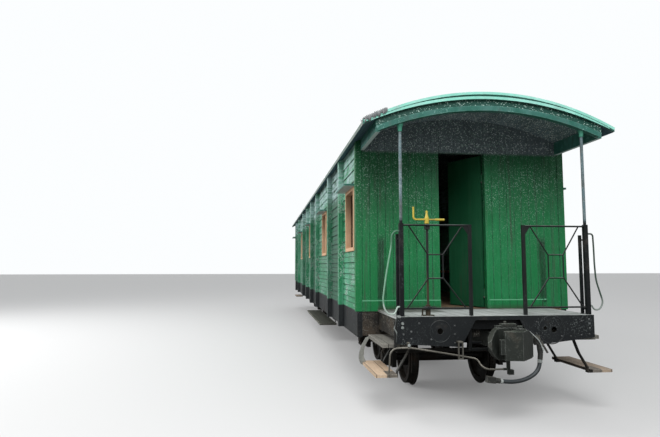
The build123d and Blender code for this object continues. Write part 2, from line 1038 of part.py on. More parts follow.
knuckle_gap = 1
lower_barrel_height = 18
foot_block = (hinge_x - 6, hinge_x + 30)
with BuildPart() as hinge_pintle_end:
    for z in hinge_heights:
        top = z - barrel_height / 2 - knuckle_gap
        with Locations((hinge_x, hinge_y, top - lower_barrel_height / 2)):
            Cylinder(barrel_radius, lower_barrel_height)
        with Locations((hinge_x, hinge_y, z)):
            Cylinder(hinge_pin_radius, barrel_height + 8)
        block(
            *foot_block,
            -half_body + wall_thickness,
            hinge_y + 6,
            top - lower_barrel_height,
            top,
        )
both_ends(hinge_pintle_end, "hinge_pintles")

# Couplers: an eight-sided cast head on a shank, with a knuckle that swings on an upright pin
coupler_z = rail_top + 800
knuckle_pin_x = 100
knuckle_pin_ahead = 300
knuckle_pin_radius = 21
hub_radius = 54
lug_radius = 60
sweep_radius = 68
hub_half_height = 67
lug_half_height = 72
head_low = coupler_z - 155
head_high = coupler_z + 162
pin_place = (knuckle_pin_x, headstock_y - knuckle_pin_ahead)
head_front = [
    # x and height over the rail of the head's outline seen from the front
    (-126, 962),
    (-179, 940),
    (-287, 835),
    (-287, 805),
    (-270, 774),
    (-199, 695),
    (-128, 645),
    (140, 645),
    (255, 677),
    (290, 694),
    (290, 870),
    (255, 890),
    (137, 962),
]
head_plan = [
    # x and distance ahead of the headstock
    (-75, 110),
    (-75, 150),
    (-150, 215),
    (-240, 290),
    (-287, 400),
    (-262, 428),
    (-190, 345),
    (-120, 285),
    (20, 255),
    (60, 235),
    (150, 225),
    (160, 195),
    (75, 120),
    (75, 110),
]
lug_plan = [(40, 300), (40, 190), (120, 190), (146, 261)]
with BuildPart() as coupler_head_end:
    plan(head_plan, head_low, head_high)
    plan(lug_plan, head_low, head_high)
    with Locations((*pin_place, (head_low + head_high) / 2)):
        Cylinder(lug_radius, head_high - head_low)
    with BuildSketch(Plane.XZ.offset(-headstock_y)):
        with BuildLine():
            Polyline(*[(x, rail_top + height) for x, height in head_front], close=True)
        make_face()
    extrude(amount=600, mode=Mode.INTERSECT)
    block(
        30,
        310,
        headstock_y - 232,
        headstock_y - 500,
        coupler_z - lug_half_height,
        coupler_z + lug_half_height,
        mode=Mode.SUBTRACT,
    )
    with Locations((*pin_place, coupler_z + 10)):
        Cylinder(knuckle_pin_radius, 330)
    with Locations((*pin_place, head_high + 13)):
        Cylinder(30, 26)
    block(
        -shank_half_width,
        shank_half_width,
        headstock_y - 130,
        headstock_y + shank_length,
        coupler_z - shank_half_height,
        coupler_z + shank_half_height,
    )
    block(-70, 85, headstock_y - 185, headstock_y - 250, head_high, head_high + 42)
    block(-125, -70, headstock_y - 190, headstock_y - 240, head_high, head_high + 22)
    with Locations((-25, headstock_y - 225, head_high + 54)):
        Cylinder(14, 24)
    with Locations((-5, headstock_y - 235, rail_top + 592)):
        Cylinder(20, 108)
    block(-10, 45, headstock_y - 212, headstock_y - 258, rail_top + 490, rail_top + 538)
    block(-60, -5, headstock_y - 226, headstock_y - 244, rail_top + 534, rail_top + 556)
both_ends(coupler_head_end, "coupler_heads")

block_low = coupler_z - 137
block_high = coupler_z + 148
sweep_arc = [
    (
        knuckle_pin_x + sweep_radius * cos(radians(angle)),
        knuckle_pin_ahead + sweep_radius * sin(radians(angle)),
    )
    for angle in range(0, 171, 10)
]
knuckle_plan = [(-115, 385), (-125, 440), (45, 480), (245, 285)] + sweep_arc + [(-20, 360)]
web_plan = [(50, 310), (-20, 360), (45, 470), (230, 290), (150, 285)]
with BuildPart() as knuckle_near:
    plan(knuckle_plan, block_low, block_high)
    with BuildSketch(Plane.XZ.offset(-headstock_y)):
        with BuildLine():
            Polyline(*[(x, rail_top + height) for x, height in head_front], close=True)
        make_face()
    extrude(amount=600, mode=Mode.INTERSECT)
    plan(web_plan, coupler_z - hub_half_height, coupler_z + hub_half_height)
    with Locations((*pin_place, coupler_z)):
        Cylinder(hub_radius, 2 * hub_half_height)
        Cylinder(knuckle_pin_radius + running_gap, 400, mode=Mode.SUBTRACT)
    block(-165, -115, headstock_y - 385, headstock_y - 430, rail_top + 720, rail_top + 867)
write(knuckle_near, "knuckle_near")
far_copy(knuckle_near, "knuckle_far")

# Uncoupling rods: a bare steel rod from the left corner to the lock lifter under the head
rod_route = [
    # x, distance ahead of the headstock, height over the rail
    (-1215, 60, 492),
    (-1199, 60, 700),
    (-1155, 60, 744),
    (-1000, 60, 752),
    (-530, 60, 672),
    (-346, 60, 638),
    (-278, 85, 628),
    (-250, 140, 560),
    (-215, 200, 540),
    (-155, 235, 545),
    (-60, 235, 545),
]
rod_places = [(x, headstock_y - ahead, rail_top + height) for x, ahead, height in rod_route]
with BuildPart() as uncoupling_rod_end:
    rod(rod_places, 9, smooth_bends(rod_places))
    block(-1010, -990, headstock_y - 70, headstock_y, rail_top + 740, rail_top + 800)
    for guide_x in (-470, -425):
        block(
            guide_x,
            guide_x + 10,
            headstock_y - 72,
            headstock_y - 48,
            rail_top + 620,
            rail_top + 805,
        )
    block(-470, -415, headstock_y - 72, headstock_y, rail_top + 790, rail_top + 805)
    block(-470, -415, headstock_y - 72, headstock_y - 48, rail_top + 620, rail_top + 632)
both_ends(uncoupling_rod_end, "uncoupling_rods")

# Brake hoses: a rubber hose from the cock's nipple under the coupler to its coupling head
hose_route = [
    # x, y from the headstock, height over the rail
    (358, -202, 629),
    (348, -206, 556),
    (305, -212, 496),
    (240, -220, 457),
    (160, -228, 429),
    (62, -238, 416),
    (-30, -248, 420),
    (-111, -256, 433),
]
hose_radius = 21
hose_points = [Vector(x, headstock_y + y, rail_top + z) for x, y, z in hose_route]
hose_radii = smooth_bends(hose_points)
with BuildPart() as air_hose:
    with BuildLine() as hose_line:
        FilletPolyline(*hose_points, radius=hose_radii)
    hose_wire = hose_line.wires()[0]
    with BuildSketch(Plane(origin=hose_wire @ 0, z_dir=hose_wire % 0)):
        Circle(hose_radius)
    sweep(path=hose_wire)
print("hose bend radii", [round(radius) for radius in hose_radii])
print("hose length", round(hose_wire.length), "volume share",
      round(air_hose.part.volume / (pi * hose_radius ** 2 * hose_wire.length), 4))
write(air_hose, "air_hose_near")
far_copy(air_hose, "air_hose_far")

# Hose fittings: the brake pipe's end with its angle cock and nipple, and the coupling head
ferrule_radius = 26
ferrule_length = 62
cock_pipe = [(315, -110, 839), (330, 150, 839)]
hose_start = hose_points[0]
start_direction = (hose_points[0] - hose_points[1]).normalized()
ferrule_top = hose_start + start_direction * ferrule_length
cock_top = Vector(330, headstock_y - 150, rail_top + 839)
hose_end = hose_points[-1]
end_direction = (hose_points[-1] - hose_points[-2]).normalized()
cock_handle = [(330, 846), (352, 852), (442, 702), (424, 692)]
with BuildPart() as hose_fitting_end:
    strut(*[(x, headstock_y - ahead, rail_top + z) for x, ahead, z in cock_pipe], 21)
    rod([cock_top, Vector(352, headstock_y - 196, rail_top + 822), ferrule_top], 28, 20)
    with Locations((340, headstock_y - 185, rail_top + 832)):
        Cylinder(31, 88)
    with BuildSketch(Plane(origin=hose_start, z_dir=start_direction)):
        Circle(ferrule_radius)
    extrude(amount=ferrule_length)
    block(
        297, 333, headstock_y + 70, headstock_y + 110, rail_top + 850, rail_top + 915
    )
    plate(cock_handle, headstock_y - 228, 8)
    with Locations((345, headstock_y - 205, rail_top + 835)):
        Cylinder(14, 40, rotation=(90, 0, 0))
    with BuildSketch(Plane(origin=hose_end, z_dir=end_direction)):
        Circle(ferrule_radius)
    extrude(amount=54)
    with BuildSketch(Plane(origin=hose_end + end_direction * 54, z_dir=end_direction)):
        Rectangle(62, 50)
    extrude(amount=95)
both_ends(hose_fitting_end, "hose_fittings")

# Benches: a long seat on legs down each side of the saloon
bench_length = 10600
bench_depth = 420
bench_height = 440
seat_thickness = 35
leg_places = [-4600, -1600, 1600, 4600]
with BuildPart() as benches:
    for side in (-1, 1):
        wall_x = board_plane - wall_thickness
        seat_low = floor_z + bench_height - seat_thickness
        block(
            side * wall_x,
            side * (wall_x - bench_depth),
            -bench_length / 2,
            bench_length / 2,
            seat_low,
            floor_z + bench_height,
        )
        for y in leg_places:
            block(
                side * (wall_x - 40),
                side * (wall_x - bench_depth + 30),
                y - 20,
                y + 20,
                floor_z,
                seat_low,
            )
write(benches, "benches")

# Brake gear below the floor: a brake cylinder and an air reservoir on hanging straps
brake_vessels = [
    # x, y, radius, length, height of the middle over the rail
    (-560, 650, 165, 480, 640),
    (520, -650, 190, 1000, 620),
]
with BuildPart() as brake_gear:
    for x, y, radius, length, middle in brake_vessels:
        with Locations((x, y, rail_top + middle)):
            Cylinder(radius, length, rotation=(90, 0, 0))
    fillet(brake_gear.edges().filter_by(GeomType.CIRCLE), 45)
    for x, y, radius, length, middle in brake_vessels:
        for shift in (-length * 0.3, length * 0.3):
            block(
                x - 20,
                x + 20,
                y + shift - 25,
                y + shift + 25,
                rail_top + middle,
                deck_z,
            )
write(brake_gear, "brake_gear")

# Bogies: plate side frames with axle guards, two transoms, a bolster and end bars
frame_top = 560
frame_low = 470
guard_low = 235
box_half = 100
guard_width = 62
frame_half_length = bogie_wheelbase / 2 + 440
spring_reach = 420
bogie_names = (("near", -1), ("far", 1))
for bogie_name, end in bogie_names:
    centre_y = end * bogie_centres / 2
    with BuildPart() as bogie_frame:
        for side in (-1, 1):
            plane = Plane(
                (side * side_frame_x - side_frame_thickness / 2, centre_y, rail_top),
                x_dir=(0, 1, 0),
                z_dir=(1, 0, 0),
            )
            with BuildSketch(plane):
                with BuildLine():
                    Polyline(
                        (-frame_half_length, frame_low),
                        (-frame_half_length, frame_top - 40),
                        (-frame_half_length + 150, frame_top),
                        (frame_half_length - 150, frame_top),
                        (frame_half_length, frame_top - 40),
                        (frame_half_length, frame_low),
                        close=True,
                    )
                make_face()
                for axle in (-1, 1):
                    middle = axle * bogie_wheelbase / 2
                    for hand in (-1, 1):
                        guard = middle + hand * (box_half + guard_width / 2)
                        with Locations((guard, (guard_low + frame_low) / 2)):
                            Rectangle(guard_width, frame_low - guard_low)
                    with Locations((middle, guard_low + 9)):
                        Rectangle(2 * box_half + 2 * guard_width, 18)
                with Locations((0, frame_low - 40)):
                    Trapezoid(700, 80, 60, rotation=180)
            extrude(amount=side_frame_thickness)
            outer = side_frame_x + side_frame_thickness / 2
            for axle in (-1, 1):
                for hand in (-1, 1):
                    spring_end = centre_y + axle * bogie_wheelbase / 2 + hand * spring_reach
                    block(
                        side * outer,
                        side * (outer + 80),
                        spring_end,
                        spring_end + hand * 35,
                        rail_top + frame_low + 20,
                        axle_z + 243,
                    )
        inner_x = side_frame_x - side_frame_thickness / 2
        for shift in (-230, 230):
            block(
                -inner_x,
                inner_x,
                centre_y + shift - 45,
                centre_y + shift + 45,
                rail_top + 430,
                rail_top + frame_top,
            )
        block(
            -inner_x,
            inner_x,
            centre_y - 185,
            centre_y + 185,
            rail_top + frame_low,
            rail_top + pivot_height - 35,
        )
        with Locations((0, centre_y, rail_top + pivot_height - 17.5 - seat_gap / 2)):
            Cylinder(pivot_plate_radius, 35 - seat_gap)
        for shift in (-1, 1):
            outer_y = centre_y + shift * frame_half_length
            block(
                -inner_x,
                inner_x,
                outer_y,
                outer_y - shift * 38,
                rail_top + frame_low,
                rail_top + frame_top - 40,
            )
        with Locations((0, centre_y, rail_top + pivot_height - 35)):
            Cylinder(pivot_pin_radius + running_gap, 75, mode=Mode.SUBTRACT)
    write(bogie_frame, f"bogie_frame_{bogie_name}")

    with BuildPart() as axle_boxes:
        for side in (-1, 1):
            for axle in (-1, 1):
                axle_y = centre_y + axle * bogie_wheelbase / 2
                block(
                    side * 705,
                    side * 875,
                    axle_y - box_half,
                    axle_y + box_half,
                    axle_z - 107,
                    axle_z + 108,
                )
                with Locations((side * 885, axle_y, axle_z)):
                    Cylinder(70, 20, rotation=(0, 90, 0))
                with Locations((side * (journal_end + 5) / 2, axle_y, axle_z)):
                    Cylinder(
                        journal_radius + journal_gap,
                        journal_end + 5,
                        rotation=(0, 90, 0),
                        mode=Mode.SUBTRACT,
                    )
    write(axle_boxes, f"axle_boxes_{bogie_name}")

    with BuildPart() as leaf_springs:
        for side in (-1, 1):
            for axle in (-1, 1):
                plane = Plane(
                    (side * 825 - 35, centre_y + axle * bogie_wheelbase / 2, axle_z + 108),
                    x_dir=(0, 1, 0),
                    z_dir=(1, 0, 0),
                )
                with BuildSketch(plane):
                    with Locations((0, 30)):
                        Rectangle(90, 60)
                    with BuildLine():
                        ThreePointArc((-spring_reach, 128), (0, 50), (spring_reach, 128))
                        Polyline(
                            (spring_reach, 128),
                            (spring_reach, 112),
                            (140, 28),
                            (-140, 28),
                            (-spring_reach, 112),
                            (-spring_reach, 128),
                        )
                    make_face()
                extrude(amount=70)
    write(leaf_springs, f"leaf_springs_{bogie_name}")

# Wheelsets: an axle with two pressed-on wheels, journals outside the wheels
inner_face = back_to_back / 2
outer_face = inner_face + wheel_width
tread_middle = gauge / 2 + 30
wheel_number = 0
for end in (-1, 1):
    for axle in (-1, 1):
        wheel_number += 1
        axle_y = end * bogie_centres / 2 + axle * bogie_wheelbase / 2
        plane = Plane((0, axle_y, axle_z), x_dir=(1, 0, 0), z_dir=(0, -1, 0))
        with BuildPart() as wheelset:
            with BuildSketch(plane):
                with BuildLine():
                    Polyline(
                        (0, 0),
                        (0, axle_radius),
                        (inner_face - 60, axle_radius),
                        (inner_face - 20, axle_radius + 12),
                        (inner_face - 20, 118),
                        (inner_face + 40, 125),
                        (inner_face + 30, 290),
                        (inner_face, 300),
                        (inner_face, wheel_radius + 12),
                    )
                    ThreePointArc(
                        (inner_face, wheel_radius + 12),
                        (inner_face + 13, wheel_radius + flange_depth),
                        (inner_face + 26, wheel_radius + 10),
                    )
                    Polyline(
                        (inner_face + 26, wheel_radius + 10),
                        (inner_face + flange_width + 8, wheel_radius + 1),
                        (outer_face - 6, wheel_radius - 3),
                        (outer_face, wheel_radius - 9),
                        (outer_face, 300),
                        (inner_face + 62, 285),
                        (inner_face + 72, 128),
                        (outer_face + 15, 118),
                        (outer_face + 15, axle_radius - 5),
                        (side_frame_x - 60, axle_radius - 12),
                        (side_frame_x - 50, journal_radius),
                        (journal_end, journal_radius),
                        (journal_end, 0),
                        (0, 0),
                    )
                make_face()
            revolve(axis=Axis((0, axle_y, axle_z), (1, 0, 0)))
            mirror(about=Plane.YZ)
        write(wheelset, f"wheelset_{wheel_number}")
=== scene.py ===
import bpy
import numpy as np
from math import pi, radians
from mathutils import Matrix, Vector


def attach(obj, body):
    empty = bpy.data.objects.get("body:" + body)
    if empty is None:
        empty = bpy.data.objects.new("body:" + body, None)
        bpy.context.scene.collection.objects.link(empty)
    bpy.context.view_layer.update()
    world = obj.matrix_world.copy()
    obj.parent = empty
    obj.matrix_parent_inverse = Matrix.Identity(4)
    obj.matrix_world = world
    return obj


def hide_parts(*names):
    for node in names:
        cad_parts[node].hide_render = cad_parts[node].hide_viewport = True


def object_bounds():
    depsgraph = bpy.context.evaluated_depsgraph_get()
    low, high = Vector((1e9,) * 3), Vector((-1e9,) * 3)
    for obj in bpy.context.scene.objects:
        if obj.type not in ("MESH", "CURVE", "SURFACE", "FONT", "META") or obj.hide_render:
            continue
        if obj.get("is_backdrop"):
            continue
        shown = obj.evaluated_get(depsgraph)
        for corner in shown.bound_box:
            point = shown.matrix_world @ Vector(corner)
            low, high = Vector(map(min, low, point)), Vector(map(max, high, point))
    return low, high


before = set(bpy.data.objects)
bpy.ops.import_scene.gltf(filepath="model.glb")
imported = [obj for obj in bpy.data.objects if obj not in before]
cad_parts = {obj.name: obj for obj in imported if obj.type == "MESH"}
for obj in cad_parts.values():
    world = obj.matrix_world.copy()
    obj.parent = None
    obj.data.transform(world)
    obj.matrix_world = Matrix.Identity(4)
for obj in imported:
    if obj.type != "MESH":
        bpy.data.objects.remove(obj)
cad_low, cad_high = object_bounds()

# Camera and daylight. The camera stands low beside the near end and looks slightly up, along the
# left side. The light is an overcast sky with two soft lamps, and the sky is white where the
# camera, gloss and glass look straight at it.
SKY_STRENGTH = 0.55


def add(name, data):
    """A new object in the scene."""
    made = bpy.data.objects.new(name, data)
    bpy.context.scene.collection.objects.link(made)
    return made


camera_data = bpy.data.cameras.new("camera")
camera_data.sensor_width = 36.0
camera_data.lens = 29.12
camera_data.clip_end = 200.0
camera = add("camera", camera_data)
camera.location = (-2.484, -13.444, 1.631)
camera.rotation_euler = (radians(90 + 5.018), 0, radians(-6.818))
bpy.context.scene.camera = camera
bpy.context.scene.view_settings.view_transform = "Standard"


def tree_of(*values):
    """The shader tree that the sockets among some values belong to."""
    return next(value.id_data for value in values if isinstance(value, bpy.types.NodeSocket))


def link(value, target):
    """Links a socket to an input, or sets the input. Three numbers are a colour as it is seen."""
    if isinstance(value, bpy.types.NodeSocket):
        value.id_data.links.new(value, target)
    elif target.type == "RGBA" and len(value) == 3:
        target.default_value = seen(*value)
    else:
        target.default_value = value


def node(kind, inputs, tree=None, **settings):
    """Adds one shader node with its inputs and settings, in the tree of its linked inputs."""
    made = (tree or tree_of(*inputs.values())).nodes.new(f"ShaderNode{kind}")
    for key, value in settings.items():
        setattr(made, key, value)
    for key, value in inputs.items():
        link(value, made.inputs[key])
    return made


def calc(operation, *values):
    """One step of arithmetic on masks and numbers."""
    return node("Math", dict(enumerate(values)), operation=operation).outputs[0]


def scaled(value, factor, shift):
    """value * factor + shift."""
    return calc("MULTIPLY_ADD", value, factor, shift)


def seen(red, green, blue):
    """A colour as it looks on screen, 0 to 255, as linear light: ((c + 0.055) / 1.055) ^ 2.4."""
    return (*[((c / 255 + 0.055) / 1.055) ** 2.4 for c in (red, green, blue)], 1.0)


world = bpy.data.worlds.new("sky")
world.use_nodes = True
sky = world.node_tree
background = sky.nodes["Background"]
light_path = node("LightPath", {}, sky)
looked_at = calc(
    "MAXIMUM", light_path.outputs["Is Camera Ray"], light_path.outputs["Is Transmission Ray"])
looked_at = calc("MAXIMUM", looked_at, light_path.outputs["Is Glossy Ray"])
background.inputs["Color"].default_value = (0.97, 0.99, 1.0, 1.0)
link(scaled(looked_at, 1.0 - SKY_STRENGTH, SKY_STRENGTH), background.inputs["Strength"])
bpy.context.scene.world = world

for lamp_name, place, turn, size, power in (
    ("front_light", (-3.5, -19.0, 12.0), (51, 0, -16), 9.0, 2300),
    ("side_light", (-13.0, -2.0, 8.0), (63, 0, -90), 10.0, 1500),
):
    lamp_data = bpy.data.lights.new(lamp_name, "AREA")
    lamp_data.shape = "SQUARE"
    lamp_data.size = size
    lamp_data.energy = power
    lamp = add(lamp_name, lamp_data)
    lamp.location = place
    lamp.rotation_euler = tuple(radians(angle) for angle in turn)

# Floor. A plain pale studio floor, wider than the view, that keeps the coach's shadow. It throws
# little light back up, so the coach stays dark underneath.
FLOOR_REACH = 90


def times(*masks):
    """The product of masks and numbers."""
    *others, product = masks
    for mask in reversed(others):
        product = calc("MULTIPLY", mask, product)
    return product


floor_corners = [
    (x * FLOOR_REACH, y * FLOOR_REACH, 0) for x, y in ((-1, -1), (1, -1), (1, 1), (-1, 1))]
floor_mesh = bpy.data.meshes.new("floor")
floor_mesh.from_pydata(floor_corners, [], [(0, 1, 2, 3)])
floor = add("floor", floor_mesh)
floor_material = bpy.data.materials.new("studio_floor")
floor_material.use_nodes = True
floor_tree = floor_material.node_tree
floor_path = node("LightPath", {}, floor_tree)
floor_colour = node(
    "Mix",
    {0: floor_path.outputs["Is Camera Ray"], 6: (0.2, 0.2, 0.19, 1), 7: (0.5, 0.5, 0.5, 1)},
    data_type="RGBA")
floor_shader = floor_tree.nodes["Principled BSDF"]
link(floor_colour.outputs[2], floor_shader.inputs["Base Color"])
floor_shader.inputs["Roughness"].default_value = 0.9
floor_shader.inputs["Emission Color"].default_value = (1, 1, 1, 1)
link(times(floor_path.outputs["Is Camera Ray"], 0.16), floor_shader.inputs["Emission Strength"])
floor_mesh.materials.append(floor_material)
floor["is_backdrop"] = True

# Brake hoses. A rubber hose of 42 mm hangs from the cock's nipple in a slack bow under the
# coupler to its coupling head. It is wrapped rubber, dusty and rubbed grey on top.


def group(name, vectors="Vector", colours="", values="", outputs="Color Roughness Height"):
    """A new shader group with named sockets. Returns its tree, its inputs and its output node."""
    tree = bpy.data.node_groups.new(name, "ShaderNodeTree")
    for way, kind, labels in (
        ("INPUT", "Vector", vectors), ("INPUT", "Color", colours), ("INPUT", "Float", values),
        ("OUTPUT", "Float", outputs),
    ):
        for label in labels.split():
            sort = "Color" if label == "Color" else kind
            tree.interface.new_socket(label, in_out=way, socket_type=f"NodeSocket{sort}")
    return tree, tree.nodes.new("NodeGroupInput").outputs, tree.nodes.new("NodeGroupOutput")


def give(output_node, **results):
    """Links finished masks and colours to a group's outputs."""
    for label, socket in results.items():
        link(socket, output_node.inputs[label])


def noise(vector, scale, detail=4.0, rough=0.55):
    """Cloudy noise between 0 and 1 at a number of patches a metre."""
    inputs = {"Vector": vector, "Scale": scale, "Detail": detail, "Roughness": rough}
    return node("TexNoise", inputs).outputs["Fac"]


def band(value, low, high):
    """A smooth step of a value: 0 at low and 1 at high. The pairs of places named below are
    these two, and low lies above high where the mask fades in downwards or inwards."""
    inputs = {0: value, 1: low, 2: high, 3: 0.0, 4: 1.0}
    return node("MapRange", inputs, interpolation_type="SMOOTHSTEP").outputs[0]


def mix(mask, under, over, way="MIX"):
    """The over colour laid on the under colour where the mask is 1."""
    inputs = {0: mask, 6: under, 7: over}
    return node("Mix", inputs, data_type="RGBA", blend_type=way).outputs[2]


def material(name, gloss=0.5, **constants):
    """A new material with its shader's own numbers. Returns it with the place on the object."""
    made = bpy.data.materials.new(name)
    made.use_nodes = True
    shader = made.node_tree.nodes["Principled BSDF"]
    for label, value in {"Specular IOR Level": gloss, **constants}.items():
        shader.inputs[label.replace("_", " ")].default_value = value
    return made, node("TexCoord", {}, made.node_tree).outputs["Object"]


def use(group_tree, place, **values):
    """Places a shared group in a material, with its own values. Returns its outputs."""
    made = tree_of(place).nodes.new("ShaderNodeGroup")
    made.node_tree = group_tree
    for label, value in {"Vector": place, **values}.items():
        link(value, made.inputs[label])
    return made.outputs


def finish(colour, surface, depth, rounding=0.0):
    """Links a colour and a surface's roughness to the shader, and its height as a bump that many
    metres deep, over corners rounded by a radius."""
    tree = tree_of(colour)
    shader = tree.nodes["Principled BSDF"]
    link(colour, shader.inputs["Base Color"])
    link(surface["Roughness"], shader.inputs["Roughness"])
    bump = node("Bump", {"Height": surface["Height"], "Distance": depth, "Strength": 1.0})
    if rounding:
        soft = node("Bevel", {"Radius": rounding}, tree, samples=4)
        link(soft.outputs[0], bump.inputs["Normal"])
    link(bump.outputs[0], shader.inputs["Normal"])


def show(name, mesh, paint, body="coach"):
    """Adds a new piece with its material, riding on its body."""
    made = add(name, mesh)
    mesh.materials.append(paint)
    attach(made, body)
    return made


# Old steel: black or bare iron with pale scuffs, brown rust in patches and grey dust that
# settles on faces that look up.
steel, steel_in, steel_out = group(
    "old steel", colours="Paint Scuff Rust Dust", values="Scuffs Rusting Dusting")
place = steel_in["Vector"]
fine = noise(place, 60.0, 8.0, 0.7)
patch = noise(place, 6.0, 6.0, 0.62)
cloud = noise(place, 2.3, 3.0, 0.5)
rubbing = scaled(fine, 0.6, times(patch, 0.6))
scuffed = band(calc("ADD", rubbing, times(steel_in["Scuffs"], 0.2)), 0.72, 0.86)
brown = scaled(cloud, 0.5, times(patch, 0.6))
rusty = band(calc("ADD", brown, times(steel_in["Rusting"], 0.25)), 0.66, 0.82)
normal = node("NewGeometry", {}, steel).outputs["Normal"]
upward = node("SeparateXYZ", {0: normal}).outputs["Z"]
dust = times(band(upward, 0.2, 0.95), steel_in["Dusting"], band(patch, 0.25, 0.6))
haze = times(steel_in["Dusting"], 0.15, cloud)
colour = mix(times(scuffed, 0.55), steel_in["Paint"], steel_in["Scuff"])
colour = mix(times(rusty, 0.8), colour, steel_in["Rust"])
colour = mix(calc("ADD", dust, haze), colour, steel_in["Dust"])
rough = scaled(rusty, 0.3, scaled(fine, 0.25, 0.34))
height = scaled(rusty, 0.4, scaled(patch, 0.5, times(fine, 0.5)))
give(steel_out, Color=colour, Roughness=rough, Height=height)

ENDS = (("near", 1), ("far", -1))
HOSE_POINTS = [
    # x, y and z of the near hose in metres, from the nipple to the coupling head
    (0.358, -8.082, 0.657),
    (0.348, -8.086, 0.584),
    (0.305, -8.092, 0.524),
    (0.240, -8.100, 0.485),
    (0.160, -8.108, 0.457),
    (0.062, -8.118, 0.444),
    (-0.030, -8.128, 0.448),
    (-0.111, -8.136, 0.461),
]
HOSE_RADIUS = 0.021
rubber, place = material("hose_rubber")
old = use(
    steel, place, Paint=(30, 36, 39), Scuff=(84, 94, 98), Rust=(60, 58, 52),
    Dust=(120, 130, 134), Scuffs=0.35, Rusting=0.1, Dusting=0.25)
wrap = node("TexWave", {"Vector": place, "Scale": 60.0, "Distortion": 1.5}).outputs["Fac"]
finish(old["Color"], {
    "Roughness": old["Roughness"], "Height": scaled(wrap, 0.25, old["Height"])}, 0.0016)
for end_name, hand in ENDS:
    hose_curve = bpy.data.curves.new(f"brake_hose_{end_name}", "CURVE")
    hose_curve.dimensions = "3D"
    hose_curve.bevel_depth = HOSE_RADIUS
    hose_curve.bevel_resolution = 6
    hose_curve.use_fill_caps = True
    hose_curve.resolution_u = 12
    hose_line = hose_curve.splines.new("NURBS")
    hose_line.points.add(len(HOSE_POINTS) - 1)
    for point, (x, y, z) in zip(hose_line.points, HOSE_POINTS):
        point.co = (hand * x, hand * y, z, 1.0)
    hose_line.order_u = 3
    hose_line.use_endpoint_u = True
    hose = show(f"brake_hose_{end_name}", hose_curve, rubber)
    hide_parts(f"air_hose_{end_name}")

# Black steelwork. Headstock plates, side sills, bearers and brake gear are riveted steel under
# black paint, scuffed grey on their edges and flecked with dust. Behind the plates they are
# painted near black as painted shade, so the plates' holes look dark.


def dress(paint, *nodes):
    """Gives CAD nodes their material."""
    for name in nodes:
        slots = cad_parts[name].data.materials
        slots.clear()
        slots.append(paint)


def axis_of(place, axis):
    """One coordinate of a vector, 0 for x, 1 for y and 2 for z."""
    return node("SeparateXYZ", {0: place}).outputs[axis]


def away(place, axis):
    """The distance from the coach's middle along an axis, the same at both ends and sides."""
    return calc("ABSOLUTE", axis_of(place, axis))


# Specks: small pale flecks of dry dust and flaking limewash, more of them in some places.
specks, specks_in, specks_out = group("specks", values="Scale Amount", outputs="Mask")
cells = node("TexVoronoi", {
    "Vector": specks_in["Vector"], "Scale": specks_in["Scale"], "Randomness": 1.0})
chance = node("TexWhiteNoise", {"Vector": cells.outputs["Position"]}).outputs["Value"]
dot = band(calc("SUBTRACT", times(chance, 0.5), cells.outputs["Distance"]), 0.0, 0.08)
where = calc("ADD", noise(specks_in["Vector"], 2.5, 4.0, 0.6), specks_in["Amount"])
give(specks_out, Mask=times(dot, band(where, 0.62, 0.95)))

# Worn edges: the mask is 1 where the rounded normal departs from the flat one, along corners.
edges, edges_in, edges_out = group("worn edges", values="Radius", outputs="Mask")
rounded = node("Bevel", {"Radius": edges_in["Radius"]}, samples=4).outputs[0]
flat = node("NewGeometry", {}, edges).outputs["Normal"]
agreement = node("VectorMath", {0: rounded, 1: flat}, operation="DOT_PRODUCT").outputs["Value"]
broken = band(noise(edges_in["Vector"], 26.0, 5.0, 0.65), 0.35, 0.6)
give(edges_out, Mask=times(band(agreement, 0.995, 0.85), broken))


def rub_edges(place, radius, share, under, over):
    """The over colour laid along the worn edges of the under colour."""
    return mix(times(use(edges, place, Radius=radius)["Mask"], share), under, over)


def fleck(place, scale, amount, share, under, over):
    """The over colour laid on the under colour in small flecks."""
    return mix(times(use(specks, place, Scale=scale, Amount=amount)["Mask"], share), under, over)


PLATE_Y = -7.880
# Where the painted shade starts and where it is full behind a plate
BEHIND_PLATE_SHADE_Y = (-PLATE_Y - 0.019, -PLATE_Y - 0.023)
BEHIND_PLATE_SHADE_X = (1.10, 1.09)
BEHIND_PLATE_SHADE_Z = (1.08, 1.07)
black, place = material("black_steel", gloss=0.15)
old = use(
    steel, place, Paint=(19, 22, 25), Scuff=(74, 80, 82), Rust=(50, 44, 40), Dust=(126, 130, 126),
    Scuffs=0.3, Rusting=0.25, Dusting=0.3)
colour = rub_edges(place, 0.006, 0.5, old["Color"], (104, 110, 110))
colour = fleck(place, 85.0, 0.16, 0.5, colour, (140, 148, 146))
# Painted shade: everything behind a headstock plate is darkened nearly to black.
darkened = times(
    band(away(place, 1), *BEHIND_PLATE_SHADE_Y), band(away(place, 0), *BEHIND_PLATE_SHADE_X), band(axis_of(place, 2), *BEHIND_PLATE_SHADE_Z))
colour = mix(times(darkened, 0.75), colour, (8, 9, 9))
finish(colour, old, 0.0018, 0.003)
dress(black, "headstocks", "side_sills", "cross_members", "brake_gear")

# End sills. Timber baulks bolted behind the headstock plates, gone brown with road dirt, with
# crumbs of pale dust in their grain.
sill_dirt, place = material("end_sill_dirt", gloss=0.1)
old = use(
    steel, place, Paint=(32, 31, 30), Scuff=(86, 82, 76), Rust=(66, 58, 50), Dust=(120, 114, 104),
    Scuffs=0.8, Rusting=0.7, Dusting=0.3)
colour = fleck(place, 60.0, 0.3, 0.6, old["Color"], (140, 142, 134))
finish(colour, old, 0.003)
dress(sill_dirt, "end_sills", "inner_sills")

# Railings. Round rods and flat posts of forged steel, riveted together. Their black paint is
# clean, and rubbed grey along the edges.


